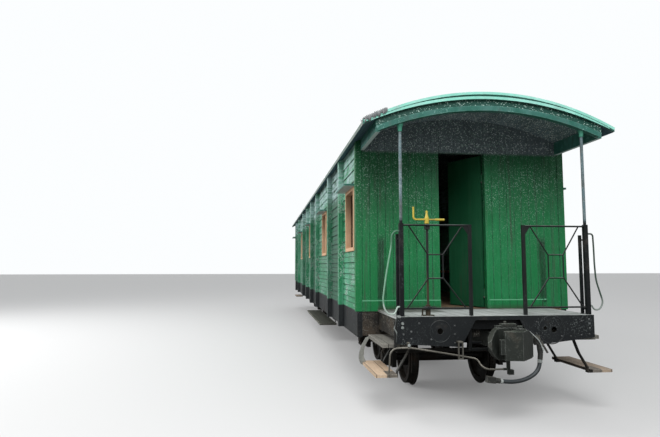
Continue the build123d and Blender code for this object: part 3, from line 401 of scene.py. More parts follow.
def coated(name, coat, depth, rounding=0.0, edge=None, gloss=0.5, metal=0.0, **values):
    """A material of one shared finish alone. An edge is the radius, the share and the colour of
    its rubbed corners."""
    made, place = material(name, gloss, Metallic=metal)
    surface = use(coat, place, **values)
    colour = surface["Color"]
    if edge:
        radius, share, over = edge
        colour = rub_edges(place, radius, share, colour, over)
    finish(colour, surface, depth, rounding)
    return made


rail_steel = coated(
    "railing_steel", steel, 0.0015, 0.003, edge=(0.005, 0.4, (92, 98, 98)), gloss=0.08,
    Paint=(12, 14, 16), Scuff=(70, 76, 78), Rust=(44, 40, 36), Dust=(136, 142, 138), Scuffs=0.3,
    Rusting=0.2, Dusting=0.6)
dress(rail_steel, "railings")

# Step hangers. Flat steel bars bent by a smith and bolted to the sills. They are sooty, with
# road dust dried grey on the curved plates.


def between(value, start, full, fade, end):
    """1 between two places on a value, rising from start to full and falling from fade to end."""
    return times(band(value, start, full), band(value, end, fade))


CURVED_PLATE_X = (1.253, 1.256)
CURVED_PLATE_Y = (7.03, 7.04, 7.07, 7.08)
hanger_steel, place = material("hanger_steel", gloss=0.15)
old = use(
    steel, place, Paint=(30, 31, 31), Scuff=(92, 94, 90), Rust=(58, 50, 42), Dust=(124, 122, 114),
    Scuffs=0.5, Rusting=0.3, Dusting=0.4)
plate = times(band(away(place, 0), *CURVED_PLATE_X), between(away(place, 1), *CURVED_PLATE_Y))
cloud = noise(place, 22.0, 6.0, 0.65)
colour = mix(plate, old["Color"], mix(cloud, (80, 82, 80), (164, 166, 160)))
finish(colour, old, 0.002, 0.003)
dress(hanger_steel, "step_hangers")

# Handbrake shafts. Turned steel rods that stand in brackets behind the railing, black above the
# railing's middle and rusty brown below it.
SHAFT_RUST_Z = (1.85, 1.6)
shaft_steel, place = material("brake_shaft_steel", gloss=0.2)
old = use(
    steel, place, Paint=(24, 27, 28), Scuff=(90, 94, 92), Rust=(70, 58, 44), Dust=(120, 118, 108),
    Scuffs=0.5, Rusting=0.4, Dusting=0.3)
low_down = band(scaled(noise(place, 14.0), 0.4, axis_of(place, 2)), *SHAFT_RUST_Z)
colour = mix(times(low_down, 0.75), old["Color"], (62, 54, 40))
finish(colour, old, 0.0018, 0.003)
dress(shaft_steel, "brake_shafts")

# Rivets, bolts and pressed rings of the headstocks. Domed rivet heads hold the corner angles,
# and a shallow ring is pressed round each hole, as the real plates have where a buffer was.


def turned(profile, sides):
    """A profile of (radius, height) turned about Z: x = r cos t, y = r sin t, z = height."""
    radius, height = np.array(profile, float).T
    turn = np.linspace(0, 2 * pi, sides, endpoint=False)
    x = radius[:, None] * np.cos(turn)
    y = radius[:, None] * np.sin(turn)
    return np.stack([x, y, np.broadcast_to(height[:, None], x.shape)], axis=-1)


def facing(form, places, axis):
    """Copies of a form at many places: place + x side + y up + z axis, all at right angles."""
    axis = np.array(axis, float) / np.linalg.norm(axis)
    side = np.cross(np.eye(3)[np.argmin(np.abs(axis))], axis)
    side /= np.linalg.norm(side)
    basis = np.stack([side, np.cross(axis, side), axis])
    return np.array(places, float)[:, None, None] + form @ basis


def carried(path, radius, sides=12):
    """A round section carried along a path: centre + r (side cos t + up sin t), side and up
    being square to the path's direction."""
    path = np.array(path, float)
    ahead = np.gradient(path, axis=0)
    ahead /= np.linalg.norm(ahead, axis=1)[:, None]
    side = np.cross(ahead, np.eye(3)[np.argmin(np.abs(ahead).max(axis=0))])
    side /= np.linalg.norm(side, axis=1)[:, None]
    up = np.cross(ahead, side)
    turn = np.linspace(0, 2 * pi, sides, endpoint=False)
    ring = np.cos(turn)[:, None] * side[:, None] + np.sin(turn)[:, None] * up[:, None]
    radius = np.broadcast_to(radius, len(path))[:, None, None]
    return (path[:, None] + radius * ring)[None]


def skin(name, *stacks, crease=35):
    """One mesh from stacks of rings of points (pieces, rings, sides, 3). Each ring is joined to
    the next by quads, the first and last are closed by a face, and corners stay sharp."""
    points, faces, start = [], [], 0
    for stack in stacks:
        numbers = start + np.arange(stack[..., 0].size).reshape(stack.shape[:3])
        here, above = numbers[:, :-1], numbers[:, 1:]
        quads = np.stack([here, np.roll(here, -1, 2), np.roll(above, -1, 2), above], axis=-1)
        faces += quads.reshape(-1, 4).tolist()
        faces += numbers[:, 0, ::-1].tolist() + numbers[:, -1].tolist()
        points.append(stack.reshape(-1, 3))
        start += stack[..., 0].size
    mesh = bpy.data.meshes.new(name)
    mesh.from_pydata(np.concatenate(points).tolist(), [], faces)
    mesh.shade_smooth()
    mesh.set_sharp_from_angle(angle=radians(crease))
    return mesh


def ring_path(middle, radius, axis, count=64):
    """A closed circle of points about a middle, square to an axis."""
    circle = facing(turned([(radius, 0)], count), [middle], axis)[0, 0]
    return np.vstack([circle, circle[:1]])


def at_both_ends(name, paint, slot, *stacks):
    """A new piece of the coach: stacks at the near end, and the same turned half round."""
    pairs = [np.concatenate([stack, stack * np.array([-1, -1, 1])]) for stack in stacks]
    show(name, skin(name, *pairs), paint)


RIVET = turned([(0.012, 0), (0.012, 0.003), (0.009, 0.007), (0.004, 0.009)], 12)
HEX_HEAD = turned([(0.017, 0), (0.017, 0.010), (0.014, 0.013)], 6)
OUTWARD = (0, -1, 0)
TREAD_Z = 0.028
HOLE_Z = TREAD_Z + 0.905
RIVET_SPOTS = [
    # x and height over the wheels' treads of the rivets and bolts on a headstock plate
    (-1.050, 0.991), (-1.041, 0.878), (-0.957, 0.905), (-0.958, 0.830), (-1.045, 0.820),
    (1.048, 1.010), (1.052, 0.965), (1.054, 0.914), (1.048, 0.850), (0.960, 0.990),
    (0.955, 0.840), (-0.480, 0.960), (-0.480, 0.870), (-0.480, 0.780), (0.440, 0.990),
    (0.440, 0.800), (-0.740, 0.820), (0.830, 0.831), (0.725, 0.833), (-0.870, 0.990),
]
PRESSED_RINGS = [
    # x and radius of the ring pressed round each hole
    (-0.640, 0.114), (0.610, 0.150),
]
RING_RADIUS = 0.006
rivet_places = [(x, PLATE_Y + 0.001, TREAD_Z + height) for x, height in RIVET_SPOTS]
ring_paths = [
    ring_path((x, PLATE_Y + 0.001, HOLE_Z), radius, OUTWARD) for x, radius in PRESSED_RINGS]
rubbed = coated(
    "rubbed_black", steel, 0.001, gloss=0.3, Paint=(30, 34, 36), Scuff=(130, 136, 136),
    Rust=(70, 60, 52), Dust=(150, 152, 148), Scuffs=0.6, Rusting=0.3, Dusting=0.4)
at_both_ends(
    "plate_rings", black, "headstocks", *[carried(path, RING_RADIUS, 8) for path in ring_paths])
at_both_ends("plate_rivets", rubbed, "headstocks", facing(RIVET, rivet_places, OUTWARD))

# Worn bolts and hooks. Two headstock bolts and the uncoupling rod's bracket bolt are rubbed
# bright, and so are the hook on the headstock's left edge and the loop on the deck above it.
BRIGHT_BOLTS = [
    # x, y and height over the wheels' treads
    (-1.050, -7.880, 0.992), (-1.051, -7.880, 0.949), (-1.000, -7.950, 0.775),
]
HOOK_POINTS = [
    # x, height over the wheels' treads and radius, down the left edge of the headstock
    (-1.104, 1.066, 0.003), (-1.122, 1.030, 0.003), (-1.124, 0.985, 0.003),
    (-1.138, 0.944, 0.007), (-1.126, 0.920, 0.008), (-1.114, 0.900, 0.007),
    (-1.114, 0.860, 0.003), (-1.119, 0.800, 0.003),
]
HOOK_DARK_ABOVE = (TREAD_Z + 0.95, TREAD_Z + 0.97)
HOOK_DARK_BELOW = (TREAD_Z + 0.90, TREAD_Z + 0.88)
HOOK_X = (1.09, 1.10)
LOOP_MIDDLE = (-1.086, PLATE_Y + 0.020, TREAD_Z + 1.062)
LOOP_AXIS = (0.1, -0.3, 0.95)
LOOP_RADIUS = 0.026
LOOP_ROD = 0.005
worn, place = material("worn_steel")
old = use(
    steel, place, Paint=(112, 118, 116), Scuff=(200, 206, 204), Rust=(84, 74, 64),
    Dust=(180, 182, 178), Scuffs=0.8, Rusting=0.35, Dusting=0.3)
z = axis_of(place, 2)
dark = calc("MAXIMUM", band(z, *HOOK_DARK_ABOVE), band(z, *HOOK_DARK_BELOW))
dark = times(dark, band(away(place, 0), *HOOK_X))
colour = mix(times(dark, 0.75), old["Color"], (44, 48, 48))
finish(colour, old, 0.001)
bolt_places = [(x, y + 0.001, TREAD_Z + height) for x, y, height in BRIGHT_BOLTS]
hook_path = [(x, PLATE_Y + 0.004, TREAD_Z + height) for x, height, radius in HOOK_POINTS]
hook_radii = [radius for x, height, radius in HOOK_POINTS]
loop_path = ring_path(LOOP_MIDDLE, LOOP_RADIUS, LOOP_AXIS, 24)
at_both_ends("worn_bolts", worn, "headstocks", facing(HEX_HEAD, bolt_places, OUTWARD))
at_both_ends(
    "edge_hooks", worn, "headstocks", carried(hook_path, hook_radii),
    carried(loop_path, LOOP_ROD, 8))

# Hose fittings. Dark cast cocks and coupling heads, bright clamp bands over the hose's ends, and
# a thin lever rubbed pale that runs from the cock up to the coupler.
LEVER_POINTS = [
    # x, y and height over the wheels' treads, from the coupler's side to below the cock
    (0.150, -8.112, 0.950), (0.229, -8.112, 0.924), (0.282, -8.112, 0.880),
    (0.335, -8.112, 0.830), (0.362, -8.112, 0.780), (0.382, -8.112, 0.715),
]
LEVER_RADIUS = 0.006
CLAMP_THICK = 0.004
fitting_iron = coated(
    "hose_fitting_iron", steel, 0.0015, 0.002, edge=(0.005, 0.6, (150, 150, 140)), gloss=0.3,
    Paint=(34, 35, 34), Scuff=(112, 112, 104), Rust=(66, 56, 46), Dust=(120, 118, 108),
    Scuffs=0.5, Rusting=0.4, Dusting=0.25)
dress(fitting_iron, "hose_fittings")
lever_path = [(x, y, TREAD_Z + height) for x, y, height in LEVER_POINTS]


def clamp(start, end, width):
    """A band round a straight run of hose, from its start along its direction."""
    start, end = np.array(start, float), np.array(end, float)
    ahead = (end - start) / np.linalg.norm(end - start)
    outer = HOSE_RADIUS + CLAMP_THICK
    profile = [(HOSE_RADIUS, 0), (outer, 0.001), (outer, width - 0.001), (HOSE_RADIUS, width)]
    return facing(turned(profile, 20), [start], ahead)


at_both_ends("cock_levers", worn, "hose_fittings", carried(lever_path, LEVER_RADIUS))
at_both_ends(
    "hose_clamps", worn, "hose_fittings", clamp(HOSE_POINTS[0], HOSE_POINTS[1], 0.034),
    clamp(HOSE_POINTS[-1], HOSE_POINTS[-2], 0.030))

# Side walls. Narrow lapped boards in old green oil paint, washed out and flaked to grey wood,
# with dark seams. The blind bays between the windows, and the boards towards the coach's middle,
# are darker, and the sill's black paint runs over the feet of the posts. The upper boards under
# the eave are paler, partly from flaked paint and partly as a painted highlight.


def stretch(vector, scale):
    """The place times a scale for each axis, which draws a pattern out along an axis."""
    return node("VectorMath", {0: vector, 1: scale}, operation="MULTIPLY").outputs[0]


# Paint film: boards or sheet under old oil paint, faded in patches, run down in streaks, and
# chipped through to the undercoat and then to the bare material.
film, film_in, film_out = group(
    "paint film", "Vector Grain Streak", "Paint Faded Undercoat Bare", "Fade Chips Dirt")
place = film_in["Vector"]
grain = noise(stretch(place, film_in["Grain"]), 1.0, 5.0, 0.6)
streak = noise(stretch(place, film_in["Streak"]), 1.0, 4.0, 0.6)
patch = noise(place, 1.7, 5.0, 0.6)
fade = times(band(calc("ADD", patch, streak), 0.85, 1.25), film_in["Fade"])
colour = mix(fade, film_in["Paint"], film_in["Faded"])
shade = scaled(grain, 0.5, 0.74)
shaded = node("CombineColor", {0: shade, 1: shade, 2: shade}).outputs[0]
colour = mix(1.0, colour, shaded, "MULTIPLY")
scratch = noise(place, 42.0, 8.0, 0.7)
where = noise(place, 3.1, 3.0, 0.5)
chip = scaled(grain, 0.45, scaled(scratch, 0.9, times(where, 0.55)))
level = calc("SUBTRACT", 1.34, times(film_in["Chips"], 0.42))
flaked = band(calc("SUBTRACT", chip, level), 0.0, 0.03)
deep = band(calc("SUBTRACT", chip, level), 0.06, 0.1)
colour = mix(flaked, colour, film_in["Undercoat"])
colour = mix(deep, colour, film_in["Bare"])
dirt = times(band(streak, 0.52, 0.75), film_in["Dirt"])
colour = mix(dirt, colour, (0.035, 0.035, 0.028, 1))
rough = scaled(patch, 0.3, 0.42)
rough = calc("MAXIMUM", rough, times(flaked, 0.85))
height = scaled(flaked, -0.5, scaled(grain, 0.6, times(scratch, 0.35)))
give(film_out, Color=colour, Roughness=rough, Height=height)

BOARD_STEP = 0.075
SILL_Z = 1.068
BLIND_BAYS = ((0.70, 2.06), (4.30, 5.66))
DARK_MIDDLE_Y = (4.35, 4.25)
BOARD_FACE_X = (1.372, 1.367)
FLAKED_AND_LIT_Z = (2.6, 2.8)
SILL_PAINT_Z = (SILL_Z + 0.03, SILL_Z + 0.012)
side_paint, place = material("side_board_paint", gloss=0.3)
x, y, z = [axis_of(place, axis) for axis in range(3)]
old = use(
    film, place, Paint=(30, 122, 78), Faded=(92, 166, 134), Undercoat=(158, 194, 178),
    Bare=(112, 118, 110), Grain=(60, 4, 60), Streak=(14, 14, 1.6), Fade=0.9, Chips=0.8, Dirt=0.5)
rough = noise(stretch(place, (3, 3, 30)), 1.0, 5.0, 0.65)
far = calc("ABSOLUTE", y)
# The blind bays, and the boards towards the middle of the coach, are painted darker.
bays = [between(far, low, low + 0.05, high - 0.05, high) for low, high in BLIND_BAYS]
darkened = calc("MAXIMUM", *bays)
darkened = calc("MAXIMUM", darkened, times(band(far, *DARK_MIDDLE_Y), 0.4))
colour = mix(times(darkened, scaled(rough, 0.5, 0.55)), old["Color"], (22, 62, 46))
row = calc("FRACT", calc("DIVIDE", calc("SUBTRACT", z, SILL_Z), BOARD_STEP))
off = calc("ABSOLUTE", calc("SUBTRACT", row, 0.5))
face = band(calc("ABSOLUTE", x), *BOARD_FACE_X)
seam = times(band(scaled(rough, 0.06, off), 0.455, 0.51), face)
colour = mix(times(seam, 0.75), colour, (14, 40, 30))
# The upper boards are paler: partly flaked paint, and partly a painted highlight of the sky's
# light.
flaked = times(band(z, *FLAKED_AND_LIT_Z), band(calc("ADD", rough, noise(place, 5.0)), 0.8, 1.15))
colour = mix(times(flaked, 0.8), colour, (164, 190, 190))
colour = rub_edges(place, 0.012, 0.5, colour, (150, 186, 172))
painted = band(scaled(rough, 0.04, z), *SILL_PAINT_Z)
colour = mix(painted, colour, (30, 34, 36))
height = scaled(seam, -2.5, old["Height"])
finish(colour, {"Roughness": old["Roughness"], "Height": height}, 0.0022, 0.004)
dress(side_paint, "side_wall_left", "side_wall_right")

# End walls. Upright grooved boards in deep green oil paint, dark in the grooves and dirty round
# the gate bars. Towards the top the green is darkened as painted shade of the canopy, and the
# skirting's top edge has a pale painted highlight. Above the door head they are smoked
# brown-grey like the ceiling, with pale flecks of dust that thin out further down.
GROOVE_STEP = 0.1
DOOR_HEAD_Z = 3.073
FLOOR_Z = 1.088
CANOPY_SHADE_Z = (1.5, 3.1)
GABLE_Z = (DOOR_HEAD_Z - 0.03, DOOR_HEAD_Z + 0.02)
GABLE_X = (1.30, 1.29)
STAIN_X = (0.985, 1.03, 1.085, 1.13)
STAIN_Z = (1.15, 1.25, 1.9, 2.05)
PROUD_Y = (6.912, 6.916)
GATE_BAR_X = (1.026, 1.03, 1.09, 1.092)
SKIRTING_HIGHLIGHT_Z = (FLOOR_Z + 0.100, FLOOR_Z + 0.106, FLOOR_Z + 0.116, FLOOR_Z + 0.120)
FOOT_Z = (FLOOR_Z + 0.07, FLOOR_Z)
FOOT_X = (1.12, 1.10)
SPECK_Z = (1.6, 3.1)
end_paint, place = material("end_board_paint", gloss=0.25)
x, y, z = [axis_of(place, axis) for axis in range(3)]
old = use(
    film, place, Paint=(17, 109, 59), Faded=(34, 132, 80), Undercoat=(92, 158, 122),
    Bare=(56, 84, 64), Grain=(70, 70, 4), Streak=(16, 16, 0.9), Fade=0.6, Chips=0.4, Dirt=0.7)
part = calc("FRACT", calc("DIVIDE", x, GROOVE_STEP))
off = calc("ABSOLUTE", calc("SUBTRACT", part, 0.5))
groove = band(scaled(noise(place, 9.0), 0.05, off), 0.46, 0.5)
colour = mix(times(groove, 0.6), old["Color"], (18, 58, 38))
upright_streaks = noise(stretch(place, (14, 14, 2.2)), 1.0, 5.0, 0.6)
# Painted shade: the green is darkened towards the top, as the canopy shades the wall.
overhead = band(z, *CANOPY_SHADE_Z)
colour = mix(times(overhead, scaled(upright_streaks, 0.8, 0.1)), colour, (28, 56, 42))
wide = calc("ABSOLUTE", x)
gable = times(band(z, *GABLE_Z), band(wide, *GABLE_X))
limewash = use(specks, place, Scale=60.0, Amount=0.7)["Mask"]
smoky = mix(upright_streaks, (66, 78, 82), (112, 124, 130))
colour = mix(gable, colour, mix(times(limewash, 0.8), smoky, (206, 218, 218)))
bars = times(between(wide, *STAIN_X), between(z, *STAIN_Z), band(upright_streaks, 0.3, 0.55))
proud = band(calc("ABSOLUTE", y), *PROUD_Y)
bars = calc("MAXIMUM", bars, times(proud, between(wide, *GATE_BAR_X)))
colour = mix(times(bars, 0.75), colour, (22, 34, 28))
# Painted highlight: a pale line along the skirting board's top edge.
skirting_highlight = times(proud, between(z, *SKIRTING_HIGHLIGHT_Z))
colour = mix(times(skirting_highlight, 0.7), colour, (116, 190, 150))
foot = times(band(z, *FOOT_Z), band(wide, *FOOT_X))
colour = mix(times(foot, scaled(upright_streaks, 0.8, 0.2)), colour, (52, 54, 46))
dots = use(specks, place, Scale=72.0, Amount=0.36)["Mask"]
dots = times(dots, scaled(band(z, *SPECK_Z), 0.65, 0.12))
colour = mix(dots, colour, (150, 182, 166))
# Paler along the corners: rubbed paint, and on the skirting's top edge also a painted highlight.
corners = times(use(edges, place, Radius=0.008)["Mask"], calc("SUBTRACT", 1.0, gable))
colour = mix(times(corners, 0.6), colour, (96, 168, 130))
finish(colour, old, 0.0016, 0.003)
dress(end_paint, "end_walls")

# Doors. Boarded leaves that hang on pintles in the doorways, in the same green oil paint, darker
# and cleaner because they stand inside.
door_paint = coated(
    "door_paint", film, 0.0018, 0.003, gloss=0.2, Paint=(20, 74, 46), Faded=(32, 92, 60),
    Undercoat=(76, 122, 98), Bare=(60, 74, 62), Grain=(60, 60, 4), Streak=(16, 16, 0.9), Fade=0.5,
    Chips=0.35, Dirt=0.6)
dress(door_paint, "door_near", "door_far")

# Roof. Curved sheet over boards: dull grey-green and stained outside, and dark smoked boards
# with flaking limewash on the ceiling side.


def normal_of(place):
    """The direction in which the surface faces."""
    return node("NewGeometry", {}, tree_of(place)).outputs["Normal"]


# Bare boards: weathered planks side by side, each of its own shade, with dark open seams, long
# grain and raised fibres.
planks, planks_in, planks_out = group(
    "bare boards", "Vector Grain", "Light Dark Seam", "Across Width Contrast")
count = calc("DIVIDE", planks_in["Across"], planks_in["Width"])
number = calc("FLOOR", count)
part = calc("FRACT", count)
off = calc("ABSOLUTE", calc("SUBTRACT", part, 0.5))
seam = band(off, 0.47, 0.492)
shade = node("TexWhiteNoise", {"W": number}, noise_dimensions="1D").outputs["Value"]
slip = node("CombineXYZ", {0: shade, 1: shade, 2: shade})
place = node(
    "VectorMath", {0: planks_in["Vector"], 1: slip.outputs[0]}, operation="ADD").outputs[0]
grain = noise(stretch(place, planks_in["Grain"]), 1.0, 8.0, 0.65)
stain = noise(planks_in["Vector"], 3.0, 5.0, 0.6)
tone = scaled(shade, 0.35, scaled(grain, 0.9, times(stain, 0.5)))
tone = times(calc("SUBTRACT", tone, 0.45), planks_in["Contrast"])
colour = mix(band(tone, 0.0, 1.0), planks_in["Light"], planks_in["Dark"])
colour = mix(seam, colour, planks_in["Seam"])
rough = scaled(grain, 0.25, 0.62)
height = scaled(seam, -2.5, grain)
give(planks_out, Color=colour, Roughness=rough, Height=height)

EAVE_X = (1.3, 1.32)
roof_paint, place = material("roof_covering", gloss=0.2)
old = use(
    film, place, Paint=(92, 112, 104), Faded=(146, 158, 150), Undercoat=(176, 182, 176),
    Bare=(104, 96, 84), Grain=(30, 3, 30), Streak=(3, 12, 12), Fade=0.9, Chips=0.75, Dirt=0.6)
ceiling = use(
    planks, place, Light=(122, 138, 144), Dark=(84, 97, 103), Seam=(62, 70, 75), Grain=(60, 4, 60),
    Across=axis_of(place, 0), Width=0.115, Contrast=1.0)
overhead = fleck(place, 56.0, 0.6, 0.95, ceiling["Color"], (226, 234, 232))
under = band(axis_of(normal_of(place), 2), 0.0, -0.1)
eave = band(away(place, 0), *EAVE_X)
overhead = mix(eave, overhead, mix(noise(place, 12.0), (52, 76, 92), (96, 120, 130)))
colour = mix(under, old["Color"], overhead)
rough = calc("MAXIMUM", old["Roughness"], times(under, 0.8))
height = mix(under, old["Height"], ceiling["Height"])
finish(colour, {"Roughness": rough, "Height": height}, 0.0025)
dress(roof_paint, "roof")

# Fascias, canopy frames and hoods. Painted sheet and timber in a paler, bluer green, worn to
# undercoat along their lips. A moulding is nailed round the bow, and the band of the bow above
# it is painted dark as the fascia's shadow.
ROOF_RADIUS = 3.1136
ROOF_CENTRE = 0.4444
ROOF_REACH = 1.457
FASCIA_RADIUS = 3.4458
FASCIA_CENTRE = 0.0312
FASCIA_REACH = 1.402
BOW_RADIUS = 3.2815
BOW_CENTRE = 0.0715
BOW_REACH = 1.313
LIP_DEPTH = 0.030
SOFFIT_X = (1.26, 1.27)
SOFFIT_Y = (7.86, 7.84)
FASCIA_SHADOW_RADIUS = (BOW_RADIUS + 0.052, BOW_RADIUS + 0.060)
FASCIA_SHADOW_Y = (7.84, 7.845, 7.855, 7.860)
trim_paint, place = material("canopy_trim_paint", gloss=0.25)
old = use(
    film, place, Paint=(40, 96, 84), Faded=(78, 126, 120), Undercoat=(124, 168, 160),
    Bare=(52, 62, 62), Grain=(16, 16, 16), Streak=(8, 8, 3), Fade=0.8, Chips=0.6, Dirt=0.55)
colour = rub_edges(place, 0.012, 0.6, old["Color"], (128, 182, 168))
soffit = band(axis_of(normal_of(place), 2), -0.6, -0.9)
worn_soffit = times(soffit, band(away(place, 0), *SOFFIT_X), band(away(place, 1), *SOFFIT_Y))
colour = mix(worn_soffit, colour, (190, 206, 206))
# Painted shadow: the band of the bow above the moulding, under the fascia, is dark, with pale
# specks.
rise = calc("SUBTRACT", axis_of(place, 2), BOW_CENTRE)
squares = [calc("POWER", value, 2.0) for value in (axis_of(place, 0), rise)]
far = calc("SQRT", calc("ADD", *squares))
fascia_shadow = times(band(far, *FASCIA_SHADOW_RADIUS), between(away(place, 1), *FASCIA_SHADOW_Y))
dots = use(specks, place, Scale=60.0, Amount=0.4)["Mask"]
colour = mix(times(fascia_shadow, 0.85), colour, mix(dots, (22, 66, 56), (170, 196, 186)))
finish(colour, old, 0.002, 0.003)
dress(trim_paint, "fascias", "canopy_frames", "window_hoods")


def arc_strip(inner, outer, centre_z, reach, y_low, y_high, count=97):
    """A strip of oblong section along an arc over X: x = r sin a, z = centre + r cos a."""
    swing = np.arcsin(reach / outer)
    angle = np.linspace(-swing, swing, count)
    rings = [
        np.stack([r * np.sin(angle), np.full(count, y), centre_z + r * np.cos(angle)], axis=-1)
        for r, y in ((inner, y_low), (inner, y_high), (outer, y_high), (outer, y_low))
    ]
    return np.stack(rings, axis=1)[None]


lip_paint = coated(
    "lip_paint", film, 0.002, 0.003, Paint=(134, 208, 190), Faded=(164, 222, 210),
    Undercoat=(196, 222, 214), Bare=(96, 120, 114), Grain=(10, 10, 10), Streak=(6, 6, 3), Fade=0.8,
    Chips=0.6, Dirt=0.3)
roof_lip = arc_strip(
    ROOF_RADIUS - LIP_DEPTH, ROOF_RADIUS - 0.001, ROOF_CENTRE, ROOF_REACH, PLATE_Y - 0.014,
    PLATE_Y + 0.001)
fascia_lip = arc_strip(
    FASCIA_RADIUS, FASCIA_RADIUS + LIP_DEPTH, FASCIA_CENTRE, FASCIA_REACH, PLATE_Y - 0.007,
    PLATE_Y + 0.001)
bow_moulding = arc_strip(
    BOW_RADIUS + 0.001, BOW_RADIUS + 0.055, BOW_CENTRE, BOW_REACH, PLATE_Y + 0.020,
    PLATE_Y + 0.031)
at_both_ends("canopy_lips", lip_paint, "fascias", roof_lip, fascia_lip)
at_both_ends("bow_mouldings", trim_paint, "canopy_frames", bow_moulding)

# Torn flashing. The zinc sheet over the near left corner of the roof has lifted and crumpled,
# and its paint is gone. The sheet is a grid on the roof's arc, lifted by a few waves.
SHEET_START = -27.6
SHEET_SWEEP = 5.2
SHEET_WIDTH = 0.17
along, across = np.meshgrid(np.linspace(0, 1, 60), np.linspace(0, 1, 34), indexing="ij")
sheet_angle = np.radians(SHEET_START + SHEET_SWEEP * along)
crumple = 0.015 * np.sin(37 * along + 9 * across) * np.sin(23 * across - 16 * along)
crumple += 0.009 * np.sin(71 * along - 41 * across) + 0.014 * (1 - along) * across ** 2
sheet_radius = ROOF_RADIUS + 0.008 + np.abs(crumple)
torn_edge = 0.02 * np.sin(19 * along) + 0.012 * np.sin(47 * along + 1)
sheet_y = PLATE_Y - 0.018 + across * (SHEET_WIDTH + torn_edge)
sheet_x = sheet_radius * np.sin(sheet_angle)
sheet_z = ROOF_CENTRE + sheet_radius * np.cos(sheet_angle)
sheet = np.stack([sheet_x, sheet_y, sheet_z], axis=-1)
folded = sheet[:, :1].copy()
folded[:, 0, 2] -= 0.05 + 0.012 * np.sin(31 * along[:, 0])
sheet = np.concatenate([folded, sheet], axis=1)
rows, columns = sheet.shape[:2]
numbers = np.arange(rows * columns).reshape(rows, columns)
sheet_faces = np.stack(
    [numbers[:-1, :-1], numbers[1:, :-1], numbers[1:, 1:], numbers[:-1, 1:]], axis=-1
).reshape(-1, 4)
flashing_mesh = bpy.data.meshes.new("torn_flashing")
flashing_mesh.from_pydata(sheet.reshape(-1, 3).tolist(), [], sheet_faces.tolist())
flashing_mesh.shade_smooth()
zinc = coated(
    "old_zinc", steel, 0.004, Paint=(200, 206, 208), Scuff=(236, 238, 238), Rust=(34, 40, 44),
    Dust=(206, 208, 206), Scuffs=0.9, Rusting=0.95, Dusting=0.2)
flashing = show("torn_flashing", flashing_mesh, zinc)
flashing_wall = flashing.modifiers.new("thickness", "SOLIDIFY")
flashing_wall.thickness = 0.0015
flashing_wall.offset = 0.0

# Window frames and panes. Wooden sashes set between the posts, their orange-brown varnish dry
# and cracked, around panes of dusty glass.
varnish, place = material("window_varnish")
old = use(
    planks, place, Light=(222, 182, 146), Dark=(178, 136, 102), Seam=(84, 62, 48),
    Grain=(70, 70, 5), Across=axis_of(place, 2), Width=9.0, Contrast=1.0)
colour = rub_edges(place, 0.006, 0.6, old["Color"], (222, 190, 150))
finish(colour, old, 0.0012, 0.002)
dress(varnish, "window_frames")
glass, place = material("window_glass", Transmission_Weight=1.0, IOR=1.1)
dust = noise(place, 5.0, 8.0, 0.7)
colour = mix(band(dust, 0.45, 0.7), (96, 106, 106), (140, 146, 138))
glass_shader = glass.node_tree.nodes["Principled BSDF"]
link(colour, glass_shader.inputs["Base Color"])
link(times(band(dust, 0.4, 0.75), 0.4), glass_shader.inputs["Roughness"])
dress(glass, "window_panes")

# Platforms and saloon floor. Bare planks, worn grey-white by weather on the platforms and
# brown inside the saloon.


def leftward(place):
    """x times the sign of y, which grows to the left for one who looks at either end."""
    return times(axis_of(place, 0), calc("SIGN", axis_of(place, 1)))


SALOON_Y = (6.96, 6.9)
MUD_X = (0.30, 0.45)
MUD_Y = (7.5, 7.2)
DOOR_MUD_Y = (7.06, 6.98)
deck_wood, place = material("deck_planks", gloss=0.2)
y = away(place, 1)
inside = band(y, *SALOON_Y)
outer = use(
    planks, place, Light=(186, 190, 189), Dark=(142, 145, 142), Seam=(92, 94, 92),
    Grain=(50, 3, 50), Across=axis_of(place, 0), Width=0.138, Contrast=0.8)
inner = use(
    planks, place, Light=(130, 110, 88), Dark=(70, 54, 40), Seam=(24, 20, 16), Grain=(50, 3, 50),
    Across=axis_of(place, 0), Width=0.115, Contrast=1.1)
grime = band(noise(place, 4.0, 6.0, 0.65), 0.42, 0.72)
colour = mix(times(grime, 0.4), outer["Color"], (96, 97, 93))
mud = times(band(leftward(place), *MUD_X), band(y, *MUD_Y))
mud = calc("MAXIMUM", mud, band(y, *DOOR_MUD_Y))
colour = mix(times(mud, scaled(grime, 0.3, 0.6)), colour, (54, 50, 42))
colour = mix(inside, colour, inner["Color"])
colour = rub_edges(place, 0.01, 0.5, colour, (190, 192, 188))
finish(colour, outer, 0.003, 0.003)
dress(deck_wood, "floors")

# Step boards. The lower treads are bare worn wood, pale beige on the left and greyer on the
# right, and the upper ones and the footboards are grey with road dirt. The footboards' tops are
# painted darker still as shade, and the treads' inner ends are painted near black as shade.


def hand_of(place):
    """1 on the right of either end as one looks at that end, and 0 on its left."""
    return band(leftward(place), 0.02, -0.02)


LOWER_STEP_Z = (0.55, 0.5)
PLATFORM_STEP_Y = (6.0, 6.4)
GREY_TREAD_Y = (7.60, 7.66)
GREY_TREAD_X = (1.215, 1.205)
tread_wood, place = material("tread_boards", gloss=0.2)
lower = use(
    planks, place, Light=(212, 188, 162), Dark=(158, 134, 110), Seam=(60, 52, 44),
    Grain=(60, 5, 60), Across=axis_of(place, 0), Width=0.132, Contrast=1.0)
upper = use(
    planks, place, Light=(128, 126, 120), Dark=(76, 74, 68), Seam=(34, 34, 32), Grain=(60, 5, 60),
    Across=axis_of(place, 0), Width=0.132, Contrast=1.1)
z = axis_of(place, 2)
y = away(place, 1)
pale = times(band(z, *LOWER_STEP_Z), band(y, *PLATFORM_STEP_Y))
colour = mix(pale, upper["Color"], lower["Color"])
long_boards = band(y, *PLATFORM_STEP_Y[::-1])
